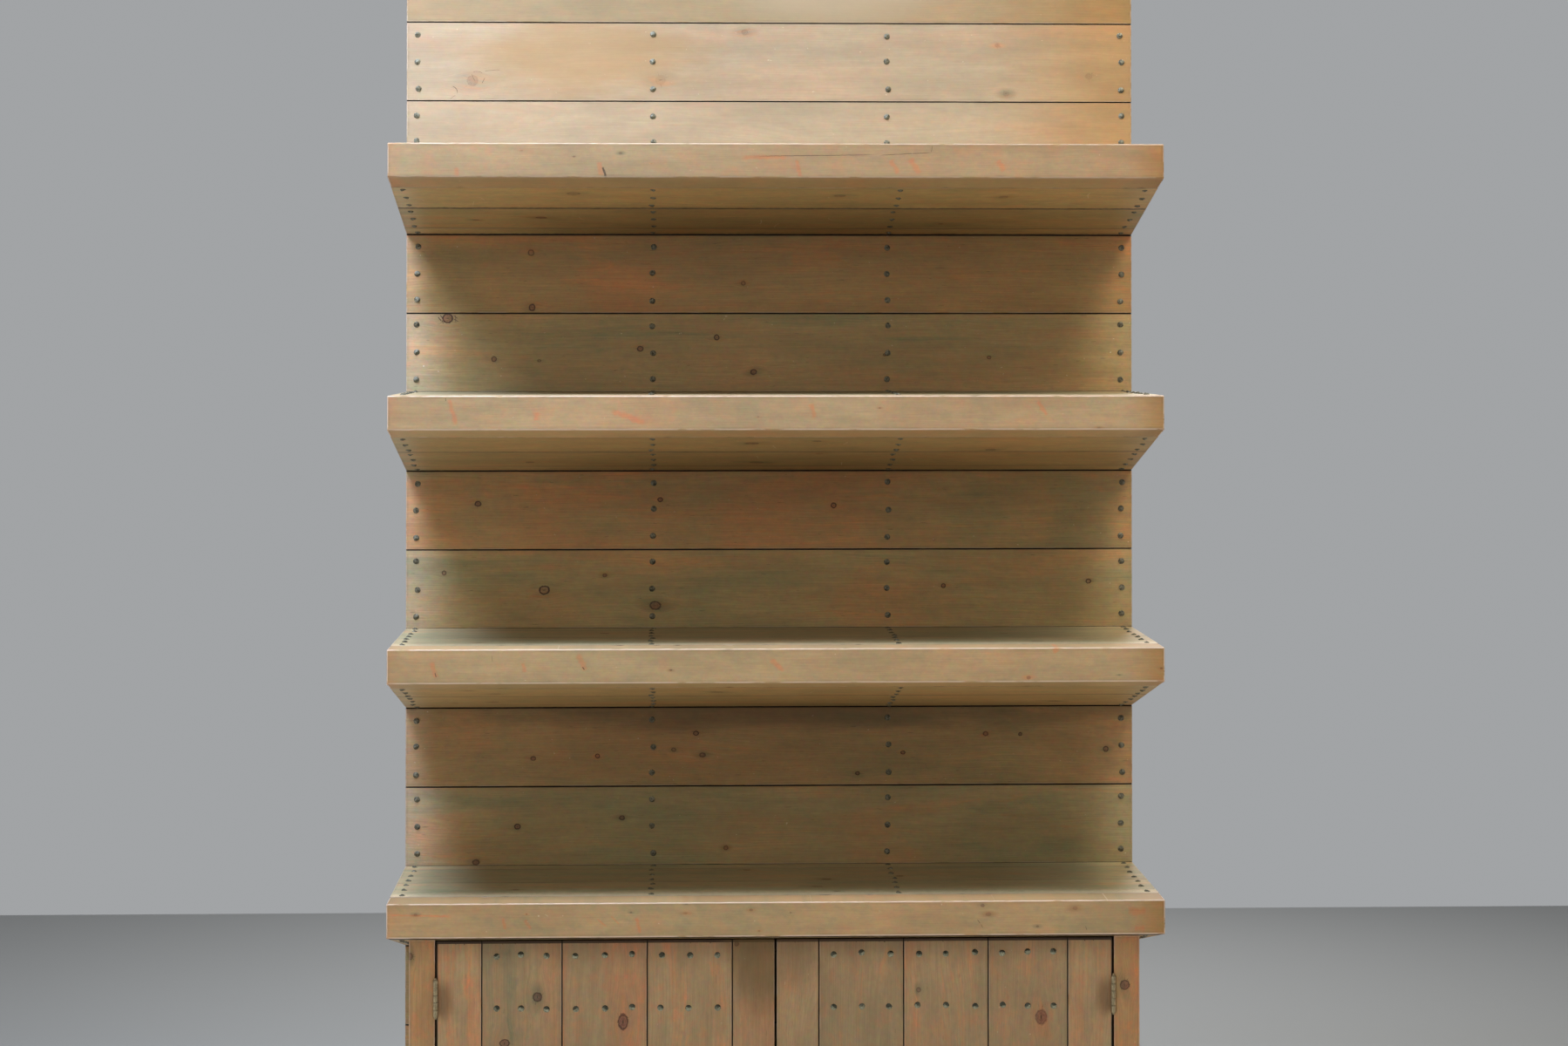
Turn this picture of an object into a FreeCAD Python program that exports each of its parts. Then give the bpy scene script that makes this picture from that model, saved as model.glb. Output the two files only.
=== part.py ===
import FreeCAD, Part
import math
import os

# A tall pine wall unit: a planked back on four posts, three wedge-shaped shelves and a wedge-shaped
# worktop over a base cabinet with two plank doors.
# Lengths are in millimetres. X runs to the right, Y to the back and Z up.
# The origin is on the floor, under the middle of the unit's box. The front faces -Y.

# Back panel
unit_width = 1340.0
plank_width = 145.0
plank_thickness = 20.0
planks_under_worktop = 6
planks_per_bay = 3
shelf_count = 3
narrow_plank_width = 101.5
full_planks_above = 2
post_width = 40.0
post_depth = 40.0

# Tongue and groove of the planks
seam_gap = 1.6
tongue_height = 5.0
tongue_thickness = 6.0
groove_clearance = 0.3

# Shelves and worktop, all the same wedge
shelf_depth = 400.0
wedge_front_height = 59.0
batten_depth = 69.0
batten_edge_radius = 2.5
shelf_board_width = 143.5
shelf_board_thickness = 20.0
shelf_board_gap = 0.8
rib_width = 40.0

# Base cabinet
cabinet_inset = 32.0
cabinet_set_back = 88.0
stile_width = 45.0
stile_thickness = 22.0
side_board_thickness = 20.0
corner_batten_side = 28.0
plinth_height = 60.0
floor_thickness = 20.0
inner_shelf_thickness = 20.0
inner_shelf_height = 398.0
inner_shelf_set_back = 60.0
cleat_side = 20.0
stop_strip_side = 20.0
stop_clearance = 0.5

# Doors
door_thickness = 20.0
door_side_gap = 3.0
door_middle_gap = 3.4
door_top_gap = 2.0
door_bottom_gap = 3.0
ledge_width = 120.0
ledge_thickness = 20.0
ledge_edge_distance = 12.0
ledge_end_distance = 10.0
door_plank_shares = (0.132, 0.237, 0.252, 0.252, 0.127)

# Nails
nail_head_radius = 5.2
nail_head_height = 3.6
nail_shank_radius = 1.6
nail_length = 36.0
nail_tip_length = 4.8
nail_edge_distance = 23.0
nail_wander = 1.6
door_nail_edge_distance = 14.0
door_nail_side_distance = 25.0
side_nail_distance = 14.0
wander_turn_share = 2.4
shelf_nail_shares = (0.21, 0.345, 0.472, 0.585, 0.716, 0.847, 0.963)
top_plank_nail_shares = (0.52, 0.84)
narrow_plank_nail_shares = (0.25, 0.73)
nails_left_out_over_doors = 2

# Screws that hold the shelves to the posts
fixing_screw_radius = 3.0
fixing_head_radius = 6.0
fixing_screw_length = 105.0
screw_point_share = 2.0
fixing_height_shares = (0.36, 0.62)

# Butt hinges
hinge_height = 64.0
hinge_centre_below_top = 99.0
hinge_barrel_radius = 4.5
hinge_pin_radius = 2.5
hinge_pin_clearance = 0.05
hinge_finial_height = 4.5
hinge_finial_radius = 3.4
hinge_leaf_thickness = 1.3
hinge_leaf_depth = 17.0
hinge_leaf_clearance = 0.4
knuckle_count = 5
knuckle_gap = 0.2
hinge_screw_shares = (0.17, 0.5, 0.83)
hinge_screw_radius = 1.7
hinge_screw_head_radius = 3.0
hinge_screw_length = 16.0
hinge_screw_clearance = 0.1

# How far a cutting shape runs past what it cuts
overrun = 10.0

# Places worked out from the sizes
unit_depth = shelf_depth + plank_thickness + post_depth
front_y = -unit_depth / 2
face_y = front_y + shelf_depth
plank_back_y = face_y + plank_thickness
back_y = plank_back_y + post_depth
half_width = unit_width / 2
worktop_z = planks_under_worktop * plank_width
bay_pitch = planks_per_bay * plank_width
shelf_tops = [worktop_z + bay_pitch * (n + 1) for n in range(shelf_count)]
narrow_plank_top = shelf_tops[-1] + narrow_plank_width
unit_height = narrow_plank_top + full_planks_above * plank_width
column_names = ("outer_left", "inner_left", "inner_right", "outer_right")
outer_column_x = half_width - post_width / 2
column_spacing = 2 * outer_column_x / (len(column_names) - 1)
column_x = [column_spacing * n - outer_column_x for n in range(len(column_names))]
outer_rib_x = half_width - rib_width / 2
rib_x = [-outer_rib_x] + column_x[1:-1] + [outer_rib_x]

wedge_back_height = plank_width
wedge_slope = (wedge_back_height - wedge_front_height) / shelf_depth
wedge_angle = math.atan(wedge_slope)
under_board_rise = shelf_board_thickness / math.cos(wedge_angle)

cabinet_y = front_y + cabinet_set_back
stile_back_y = cabinet_y + stile_thickness
cabinet_half = half_width - cabinet_inset
opening_half = cabinet_half - stile_width
side_inner = cabinet_half - side_board_thickness
door_outer = opening_half - door_side_gap
door_inner = door_middle_gap / 2
door_width = door_outer - door_inner
door_bottom = plinth_height + door_bottom_gap
door_back_y = cabinet_y + door_thickness
ledge_back_y = door_back_y + ledge_thickness


def underside(top, y):
    """Height of a wedge's sloping underside at y."""
    return top - wedge_front_height - wedge_slope * (y - front_y)


door_top = underside(worktop_z, cabinet_y) - door_top_gap
hinge_x = opening_half - door_side_gap / 2
hinge_y = cabinet_y - hinge_barrel_radius
hinge_heights = (door_top - hinge_centre_below_top, door_bottom + hinge_centre_below_top)


def save(name, *solids):
    """Write one node, as one solid or as a group of separate solids."""
    shape = solids[0] if len(solids) == 1 else Part.makeCompound(list(solids))
    shape.exportStep("parts/" + name + ".step")


def block(x0, x1, y0, y1, z0, z1):
    """A box between two corners."""
    return Part.makeBox(x1 - x0, y1 - y0, z1 - z0, FreeCAD.Vector(x0, y0, z0))


def prism_along_x(outline, x0, x1):
    """A solid with a (y, z) outline, from x0 to x1."""
    wire = Part.makePolygon([FreeCAD.Vector(x0, y, z) for y, z in outline + outline[:1]])
    return Part.Face(wire).extrude(FreeCAD.Vector(x1 - x0, 0, 0))


def prism_along_y(outline, y0, y1):
    """A solid with an (x, z) outline, from y0 to y1."""
    wire = Part.makePolygon([FreeCAD.Vector(x, y0, z) for x, z in outline + outline[:1]])
    return Part.Face(wire).extrude(FreeCAD.Vector(0, y1 - y0, 0))


def prism_along_z(outline, z0, z1):
    """A solid with an (x, y) outline, from z0 to z1."""
    wire = Part.makePolygon([FreeCAD.Vector(x, y, z0) for x, y in outline + outline[:1]])
    return Part.Face(wire).extrude(FreeCAD.Vector(0, 0, z1 - z0))


def mirrored(solid):
    """The same piece on the other side of the unit's middle."""
    return solid.mirror(FreeCAD.Vector(0, 0, 0), FreeCAD.Vector(1, 0, 0))


def plank_outline(low, high, front, back, tongue, groove):
    """Corners (across the thickness, along the width) of a plank with a tongue on its high edge
    and a groove in its low edge."""
    middle = (front + back) / 2
    half_tongue = tongue_thickness / 2
    half_groove = half_tongue + groove_clearance
    top = high - seam_gap if tongue else high
    points = [(front, low), (front, top)]
    if tongue:
        tip = high + tongue_height
        points += [(middle - half_tongue, top), (middle - half_tongue, tip)]
        points += [(middle + half_tongue, tip), (middle + half_tongue, top)]
    points += [(back, top), (back, low)]
    if groove:
        roof = low + tongue_height + groove_clearance
        points += [(middle + half_groove, low), (middle + half_groove, roof)]
        points += [(middle - half_groove, roof), (middle - half_groove, low)]
    return points


def back_plank(low, high, tongue=True, groove=True):
    """One horizontal plank of the back panel."""
    outline = plank_outline(low, high, face_y, plank_back_y, tongue, groove)
    return prism_along_x(outline, -half_width, half_width)


def above_slope(gap):
    """The space above a plane that lies a gap under the worktop's sloping underside."""
    y0 = front_y - overrun
    y1 = face_y + overrun
    roof = worktop_z + overrun
    outline = [
        (y0, underside(worktop_z, y0) - gap),
        (y1, underside(worktop_z, y1) - gap),
        (y1, roof),
        (y0, roof),
    ]
    return prism_along_x(outline, -unit_width, unit_width)


def nail_shape(head_radius, head_height, shank_radius, length, tip_length):
    """A domed nail whose head rests on z = 0, with its shank pointing down."""
    sphere_radius = (head_radius ** 2 + head_height ** 2) / (2 * head_height)
    half_angle = math.asin(head_radius / sphere_radius) / 2
    middle = FreeCAD.Vector(
        sphere_radius * math.sin(half_angle),
        0,
        head_height - sphere_radius * (1 - math.cos(half_angle)),
    )
    crown = FreeCAD.Vector(0, 0, head_height)
    rim = FreeCAD.Vector(head_radius, 0, 0)
    neck = FreeCAD.Vector(shank_radius, 0, 0)
    shoulder = FreeCAD.Vector(shank_radius, 0, tip_length - length)
    tip = FreeCAD.Vector(0, 0, -length)
    edges = [
        Part.Arc(crown, middle, rim).toShape(),
        Part.LineSegment(rim, neck).toShape(),
        Part.LineSegment(neck, shoulder).toShape(),
        Part.LineSegment(shoulder, tip).toShape(),
        Part.LineSegment(tip, crown).toShape(),
    ]
    face = Part.Face(Part.Wire(edges))
    return face.revolve(FreeCAD.Vector(0, 0, 0), FreeCAD.Vector(0, 0, 1), 360)


def screw_shape(head_radius, shank_radius, length, spare=0.0):
    """A countersunk screw whose flat head lies on z = 0, with its shank pointing down.
    With spare it is the hole that such a screw goes through."""
    head = head_radius + spare
    shank = shank_radius + spare
    point_z = shank * screw_point_share - length
    outline = [(0, 0), (head, 0), (shank, shank - head), (shank, point_z), (0, -length)]
    wire = Part.makePolygon([FreeCAD.Vector(r, 0, z) for r, z in outline + outline[:1]])
    return Part.Face(wire).revolve(FreeCAD.Vector(0, 0, 0), FreeCAD.Vector(0, 0, 1), 360)


def placed(shape, x, y, z, outward):
    """A copy of a fastener with its head at a point, facing outward."""
    copy = shape.copy()
    turn = FreeCAD.Rotation(FreeCAD.Vector(0, 0, 1), FreeCAD.Vector(*outward))
    copy.Placement = FreeCAD.Placement(FreeCAD.Vector(x, y, z), turn)
    return copy


def wander(n):
    """A small uneven offset, as nails set by hand have."""
    return nail_wander * math.sin(n * n * wander_turn_share + n)


nail = nail_shape(
    nail_head_radius, nail_head_height, nail_shank_radius, nail_length, nail_tip_length
)


def make_posts():
    """Four posts that carry the back planks and the shelves."""
    for name, x in zip(column_names, column_x):
        post = block(x - post_width / 2, x + post_width / 2, plank_back_y, back_y, 0, unit_height)
        save("back_post_" + name, post)


def make_back_panel():
    """The horizontal planks, from the floor up."""
    hidden = planks_under_worktop - 1
    lower = [
        back_plank(n * plank_width, (n + 1) * plank_width, groove=n > 0) for n in range(hidden)
    ]
    save("cabinet_back_planks", *lower)
    tops = [worktop_z] + shelf_tops
    save("shelf_backing_planks", *[back_plank(top - plank_width, top) for top in tops])
    for bay, top in enumerate(tops[:-1]):
        for row in range(planks_per_bay - 1):
            low = top + row * plank_width
            save("back_plank_bay_%d_row_%d" % (bay + 1, row + 1), back_plank(low, low + plank_width))
    save("back_plank_narrow", back_plank(tops[-1], narrow_plank_top))
    for n in range(full_planks_above):
        low = narrow_plank_top + n * plank_width
        last = n == full_planks_above - 1
        save("back_plank_upper_%d" % (n + 1), back_plank(low, low + plank_width, tongue=not last))


def back_nail_heights():
    """Heights of the nails in one column, from the floor up."""
    heights = []
    tops = [worktop_z] + shelf_tops
    backed = [top - plank_width for top in tops]
    lows = [n * plank_width for n in range(planks_under_worktop + planks_per_bay * shelf_count)]
    lows = [low for low in lows if min(abs(low - b) for b in backed) > seam_gap]
    lows += [narrow_plank_top + n * plank_width for n in range(full_planks_above - 1)]
    for low in lows:
        heights += [low + nail_edge_distance, low + plank_width / 2]
        heights += [low + plank_width - nail_edge_distance]
    heights += [tops[-1] + narrow_plank_width * share for share in narrow_plank_nail_shares]
    last = unit_height - plank_width
    heights += [last + plank_width * share for share in top_plank_nail_shares]
    return heights


def make_back_nails():
    """Nails through the back planks into the posts."""
    nails = []
    for column, x in enumerate(column_x):
        for n, z in enumerate(back_nail_heights()):
            dx = wander(n + 7 * column)
            dz = wander(n + 5 * column + 3)
            nails.append(placed(nail, x + dx, face_y, z + dz, (0, -1, 0)))
    save("back_plank_nails", *nails)


def board_edges():
    """Front and back of each board in a wedge, behind its front batten. The last is a strip as
    wide as the depth leaves, but no narrower than it is thick."""
    seam = front_y + batten_depth + shelf_board_width
    seams = []
    while seam < face_y - shelf_board_thickness:
        seams.append(seam)
        seam += shelf_board_width
    half_gap = shelf_board_gap / 2
    fronts = [front_y + batten_depth] + [seam + half_gap for seam in seams]
    backs = [seam - half_gap for seam in seams] + [face_y]
    return list(zip(fronts, backs))


def front_batten(top):
    """The solid front edge of a wedge, with its long edges eased."""
    y0 = front_y
    y1 = front_y + batten_depth
    outline = [(y0, underside(top, y0)), (y0, top), (y1, top), (y1, underside(top, y1))]
    batten = prism_along_x(outline, -half_width, half_width)
    front = []
    for edge in batten.Edges:
        box = edge.BoundBox
        if box.YMax < y0 + batten_edge_radius and box.ZLength < batten_edge_radius:
            front.append(edge)
    return batten.makeFillet(batten_edge_radius, front)


def make_wedge(name, top):
    """A shelf or the worktop: front batten, boards above and below, and ribs."""
    save(name + "_front_batten", front_batten(top))
    upper = []
    lower = []
    for y0, y1 in board_edges():
        upper.append(block(-half_width, half_width, y0, y1, top - shelf_board_thickness, top))
        u0 = underside(top, y0)
        u1 = underside(top, y1)
        outline = [(y0, u0), (y1, u1), (y1, u1 + under_board_rise), (y0, u0 + under_board_rise)]
        lower.append(prism_along_x(outline, -half_width, half_width))
    save(name + "_top_boards", *upper)
    save(name + "_under_boards", *lower)

    y0 = front_y + batten_depth
    roof = top - shelf_board_thickness
    rib_outline = [
        (y0, underside(top, y0) + under_board_rise),
        (face_y, underside(top, face_y) + under_board_rise),
        (face_y, roof),
        (y0, roof),
    ]
    ribs = []
    for x in rib_x:
        ribs.append(prism_along_x(rib_outline, x - rib_width / 2, x + rib_width / 2))
    save(name + "_ribs", *ribs)


def wedge_nails(top, skip_inner_under):
    """Nails through the boards of a wedge into its ribs, from above and from below."""
    nails = []
    down = (0, -math.sin(wedge_angle), -math.cos(wedge_angle))
    for column, x in enumerate(column_x):
        inner = 0 < column < len(column_x) - 1
        for n, share in enumerate(shelf_nail_shares):
            y = front_y + shelf_depth * share
            dx = wander(n + 3 * column)
            nails.append(placed(nail, x + dx, y, top, (0, 0, 1)))
            if inner and n < skip_inner_under:
                continue
            nails.append(placed(nail, x - dx, y, underside(top, y), down))
    return nails


def make_wedges():
    """The worktop and the shelves above it. The worktop has no nails where its doors pass."""
    make_wedge("worktop", worktop_z)
    nails = wedge_nails(worktop_z, nails_left_out_over_doors)
    for number, top in enumerate(shelf_tops):
        make_wedge("shelf_%d" % (number + 1), top)
        nails += wedge_nails(top, 0)
    save("shelf_and_worktop_nails", *nails)


def make_fixing_screws():
    """Long screws from behind each post into the shelf ribs."""
    screw = screw_shape(fixing_head_radius, fixing_screw_radius, fixing_screw_length)
    screws = []
    for top in [worktop_z] + shelf_tops:
        for x in column_x:
            for share in fixing_height_shares:
                z = top - wedge_back_height * share
                screws.append(placed(screw, x, back_y, z, (0, 1, 0)))
    save("shelf_fixing_screws", *screws)


def make_cabinet():
    """Everything of the base cabinet that does not move."""
    above = above_slope(0)
    stile = block(opening_half, cabinet_half, cabinet_y, stile_back_y, 0, worktop_z).cut(above)
    save("right_stile", stile)
    save("left_stile", mirrored(stile))

    boards = []
    for n in range(planks_under_worktop):
        low = n * plank_width
        outline = plank_outline(low, low + plank_width, side_inner, cabinet_half, True, n > 0)
        boards.append(prism_along_y(outline, stile_back_y, face_y).cut(above))
    save("right_side_planks", *boards)
    save("left_side_planks", *[mirrored(board) for board in boards])

    batten_inner = side_inner - corner_batten_side
    battens = []
    for y0 in (stile_back_y, face_y - corner_batten_side):
        batten = block(batten_inner, side_inner, y0, y0 + corner_batten_side, 0, worktop_z)
        batten = batten.cut(above)
        battens += [batten, mirrored(batten)]
    save("cabinet_corner_battens", *battens)

    plinth = block(-opening_half, opening_half, cabinet_y, stile_back_y, 0, plinth_height)
    save("plinth_rail", plinth)
    floor_low = plinth_height - floor_thickness
    floor = block(-batten_inner, batten_inner, stile_back_y, face_y, floor_low, plinth_height)
    save("cabinet_floor", floor)
    shelf_low = inner_shelf_height - inner_shelf_thickness
    shelf_front = cabinet_y + inner_shelf_set_back
    shelf = block(-batten_inner, batten_inner, shelf_front, face_y, shelf_low, inner_shelf_height)
    save("cabinet_inner_shelf", shelf)

    cleats = []
    cleat_front = stile_back_y + corner_batten_side
    cleat_back = face_y - corner_batten_side
    for high in (floor_low, shelf_low):
        cleat = block(
            batten_inner - cleat_side, side_inner, cleat_front, cleat_back, high - cleat_side, high
        )
        cleats += [cleat, mirrored(cleat)]
    save("cabinet_shelf_cleats", *cleats)

    strip_y = ledge_back_y + stop_clearance
    strip_back = strip_y + stop_strip_side
    strip_low = underside(worktop_z, strip_back) - stop_strip_side
    strip = block(-batten_inner, batten_inner, strip_y, strip_back, strip_low, worktop_z).cut(above)
    save("door_stop_strip", strip)


def make_side_nails():
    """Nails through the cabinet's side planks into the corner battens."""
    nails = []
    rows = (stile_back_y + side_nail_distance, face_y - side_nail_distance)
    heights = []
    for n in range(planks_under_worktop - 1):
        low = n * plank_width
        heights += [low + nail_edge_distance, low + plank_width / 2]
        heights += [low + plank_width - nail_edge_distance]
    for side in (-1, 1):
        for row, y in enumerate(rows):
            for n, z in enumerate(heights):
                dz = wander(n + 4 * row + side)
                nails.append(placed(nail, side * cabinet_half, y, z + dz, (side, 0, 0)))
    save("cabinet_side_nails", *nails)


def door_plank_edges():
    """Edges of the planks of the right door, from its outer edge inwards."""
    total = sum(door_plank_shares)
    edges = [door_outer]
    for share in door_plank_shares:
        edges.append(edges[-1] - door_width * share / total)
    return edges


def door_nail_places():
    """Nails of the right door: three across each middle plank, two rows on each ledge."""
    edges = door_plank_edges()
    ledge_top = door_top - ledge_edge_distance
    ledge_bottom = door_bottom + ledge_edge_distance
    heights = [
        ledge_top - door_nail_edge_distance,
        ledge_top - ledge_width + door_nail_edge_distance,
        ledge_bottom + ledge_width - door_nail_edge_distance,
        ledge_bottom + door_nail_edge_distance,
    ]
    places = []
    for outer, inner in zip(edges[1:-2], edges[2:-1]):
        first = outer - door_nail_side_distance
        last = inner + door_nail_side_distance
        for x in (first, (first + last) / 2, last):
            for z in heights:
                places.append((x, z))
    return places


def make_door(side, sign):
    """Planks, ledges and nails of one door. The right door is the pattern for both."""
    above = above_slope(door_top_gap)
    edges = door_plank_edges()
    planks = []
    last = len(edges) - 2
    for n in range(last + 1):
        outline = plank_outline(
            edges[n + 1], edges[n], cabinet_y, door_back_y, tongue=n > 0, groove=n < last
        )
        plank = prism_along_z([(x, y) for y, x in outline], door_bottom, worktop_z).cut(above)
        planks.append(plank)
    ledges = []
    for low in (door_top - ledge_edge_distance - ledge_width, door_bottom + ledge_edge_distance):
        ledges.append(
            block(
                door_inner + ledge_end_distance,
                door_outer - ledge_end_distance,
                door_back_y,
                ledge_back_y,
                low,
                low + ledge_width,
            )
        )
    if sign < 0:
        planks = [mirrored(plank) for plank in planks]
        ledges = [mirrored(ledge) for ledge in ledges]
    save(side + "_door_planks", *planks)
    save(side + "_door_ledges", *ledges)
    nails = []
    for n, (x, z) in enumerate(door_nail_places()):
        dx = wander(n + 2 * sign)
        dz = wander(n + 5 * sign)
        nails.append(placed(nail, sign * x + dx, cabinet_y, z + dz, (0, -1, 0)))
    save(side + "_door_nails", *nails)


def hinge_leaf(height, on_frame):
    """One leaf of a right-hand hinge, with its knuckles around the pin."""
    low = height - hinge_height / 2
    pitch = hinge_height / knuckle_count
    way = 1 if on_frame else -1
    far = hinge_x + way * door_side_gap / 2
    near = far - way * hinge_leaf_thickness
    x0 = min(near, far)
    x1 = max(near, far)
    plate_y = hinge_y + hinge_barrel_radius + hinge_leaf_clearance
    leaf = block(x0, x1, plate_y, plate_y + hinge_leaf_depth, low, low + hinge_height)
    for n in range(0 if on_frame else 1, knuckle_count, 2):
        z0 = low + n * pitch + knuckle_gap / 2
        z1 = low + (n + 1) * pitch - knuckle_gap / 2
        base = FreeCAD.Vector(hinge_x, hinge_y, z0)
        knuckle = Part.makeCylinder(hinge_barrel_radius, z1 - z0, base)
        web = block(x0, x1, hinge_y, plate_y + hinge_leaf_clearance, z0, z1)
        leaf = leaf.fuse(knuckle).fuse(web)
    bore = Part.makeCylinder(
        hinge_pin_radius + hinge_pin_clearance,
        hinge_height + 2 * overrun,
        FreeCAD.Vector(hinge_x, hinge_y, low - overrun),
    )
    leaf = leaf.cut(bore)
    hole = screw_shape(
        hinge_screw_head_radius, hinge_screw_radius, hinge_screw_length, hinge_screw_clearance
    )
    for z in hinge_screw_heights(height):
        leaf = leaf.cut(placed(hole, near, hinge_screw_y(), z, (-way, 0, 0)))
    return leaf.removeSplitter().Solids[0]


def hinge_screw_heights(height):
    """Heights of the screws of one leaf."""
    return [height + hinge_height * (share - 0.5) for share in hinge_screw_shares]


def hinge_screw_y():
    """How far back the screws of a leaf lie."""
    return hinge_y + hinge_barrel_radius + hinge_leaf_clearance + hinge_leaf_depth / 2


def hinge_pin(height):
    """The pin of one hinge, with a small turned finial at each end."""
    half = hinge_height / 2
    centre = FreeCAD.Vector(hinge_x, hinge_y, height)
    base = centre - FreeCAD.Vector(0, 0, half + hinge_finial_height / 2)
    pin = Part.makeCylinder(hinge_pin_radius, hinge_height + hinge_finial_height, base)
    for way in (-1, 1):
        up = FreeCAD.Vector(0, 0, way)
        foot = centre + up * (half + knuckle_gap / 2)
        neck = Part.makeCone(
            hinge_finial_radius, hinge_pin_radius, hinge_finial_height / 2, foot, up
        )
        crown = foot + up * (hinge_finial_height - hinge_pin_radius)
        pin = pin.fuse(neck).fuse(Part.makeSphere(hinge_pin_radius, crown))
    return pin.removeSplitter().Solids[0]


def leaf_screws(on_frame):
    """The screws of both leaves of the right-hand hinges, on the frame or on the door."""
    way = 1 if on_frame else -1
    near = hinge_x + way * (door_side_gap / 2 - hinge_leaf_thickness)
    screw = screw_shape(hinge_screw_head_radius, hinge_screw_radius, hinge_screw_length)
    screws = []
    for height in hinge_heights:
        for z in hinge_screw_heights(height):
            screws.append(placed(screw, near, hinge_screw_y(), z, (-way, 0, 0)))
    return screws


def make_hinges():
    """Two butt hinges on each door."""
    frame_leaves = [hinge_leaf(height, True) for height in hinge_heights]
    door_leaves = [hinge_leaf(height, False) for height in hinge_heights]
    pins = [hinge_pin(height) for height in hinge_heights]
    save("right_hinge_frame_leaves", *frame_leaves)
    save("right_hinge_door_leaves", *door_leaves)
    save("left_hinge_frame_leaves", *[mirrored(leaf) for leaf in frame_leaves])
    save("left_hinge_door_leaves", *[mirrored(leaf) for leaf in door_leaves])
    save("hinge_pins", *pins, *[mirrored(pin) for pin in pins])
    frame_screws = leaf_screws(True)
    door_screws = leaf_screws(False)
    save("hinge_frame_screws", *frame_screws, *[mirrored(screw) for screw in frame_screws])
    save("right_hinge_door_screws", *door_screws)
    save("left_hinge_door_screws", *[mirrored(screw) for screw in door_screws])


os.makedirs("parts", exist_ok=True)
make_posts()
make_back_panel()
make_back_nails()
make_wedges()
make_fixing_screws()
make_cabinet()
make_side_nails()
make_door("left", -1)
make_door("right", 1)
make_hinges()
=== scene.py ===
import math
import random

import bmesh
import bpy
import numpy as np
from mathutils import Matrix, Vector


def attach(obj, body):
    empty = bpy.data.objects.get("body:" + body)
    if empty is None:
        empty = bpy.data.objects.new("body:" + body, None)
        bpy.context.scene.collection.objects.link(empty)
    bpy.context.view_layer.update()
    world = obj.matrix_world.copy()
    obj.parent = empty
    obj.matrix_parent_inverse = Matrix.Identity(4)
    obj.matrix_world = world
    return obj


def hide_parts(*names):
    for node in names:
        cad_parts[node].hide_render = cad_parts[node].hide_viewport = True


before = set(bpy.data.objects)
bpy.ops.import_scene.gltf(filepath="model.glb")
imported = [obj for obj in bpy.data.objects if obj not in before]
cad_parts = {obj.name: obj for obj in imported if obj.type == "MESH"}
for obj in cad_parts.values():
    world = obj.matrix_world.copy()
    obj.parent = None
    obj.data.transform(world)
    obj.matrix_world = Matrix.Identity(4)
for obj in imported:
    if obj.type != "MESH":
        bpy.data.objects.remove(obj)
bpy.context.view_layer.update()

# Sizes of the unit in metres, as the frame has them
FRONT_Y = -0.230
FACE_Y = 0.170
PLANK = 0.145
THICK = 0.020
HALF_WIDTH = 0.670
SEAM = 0.0016
TONGUE = 0.005
TONGUE_HALF = 0.003
PLAY = 0.0003
WORKTOP_Z = 0.870
BAY = 0.435
SHELF_TOPS = [WORKTOP_Z + BAY * (n + 1) for n in range(3)]
NARROW_TOP = SHELF_TOPS[-1] + 0.1015
UNIT_HEIGHT = NARROW_TOP + 2 * PLANK
WEDGE_FRONT = 0.059
DEPTH = 0.400
SLOPE = (PLANK - WEDGE_FRONT) / DEPTH
TILT = math.atan(SLOPE)
BATTEN = 0.069
CABINET_Y = -0.142
STILE_BACK_Y = -0.120
CABINET_HALF = 0.638
OPENING_HALF = 0.593
DOOR_BOTTOM = 0.063
DOOR_GAP = 0.002
DOOR_OUTER = 0.590
DOOR_INNER = 0.0017
DOOR_SHARES = (0.132, 0.237, 0.252, 0.252, 0.127)
POST_HALF = 0.020
POST_DEEP = 0.0199
COLUMNS = [(HALF_WIDTH - POST_HALF) * s for s in (-1, -1 / 3, 1 / 3, 1)]

MM = 0.001


def underside(top, y):
    return top - WEDGE_FRONT - SLOPE * (y - FRONT_Y)


# ---------------------------------------------------------------- node trees


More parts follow.
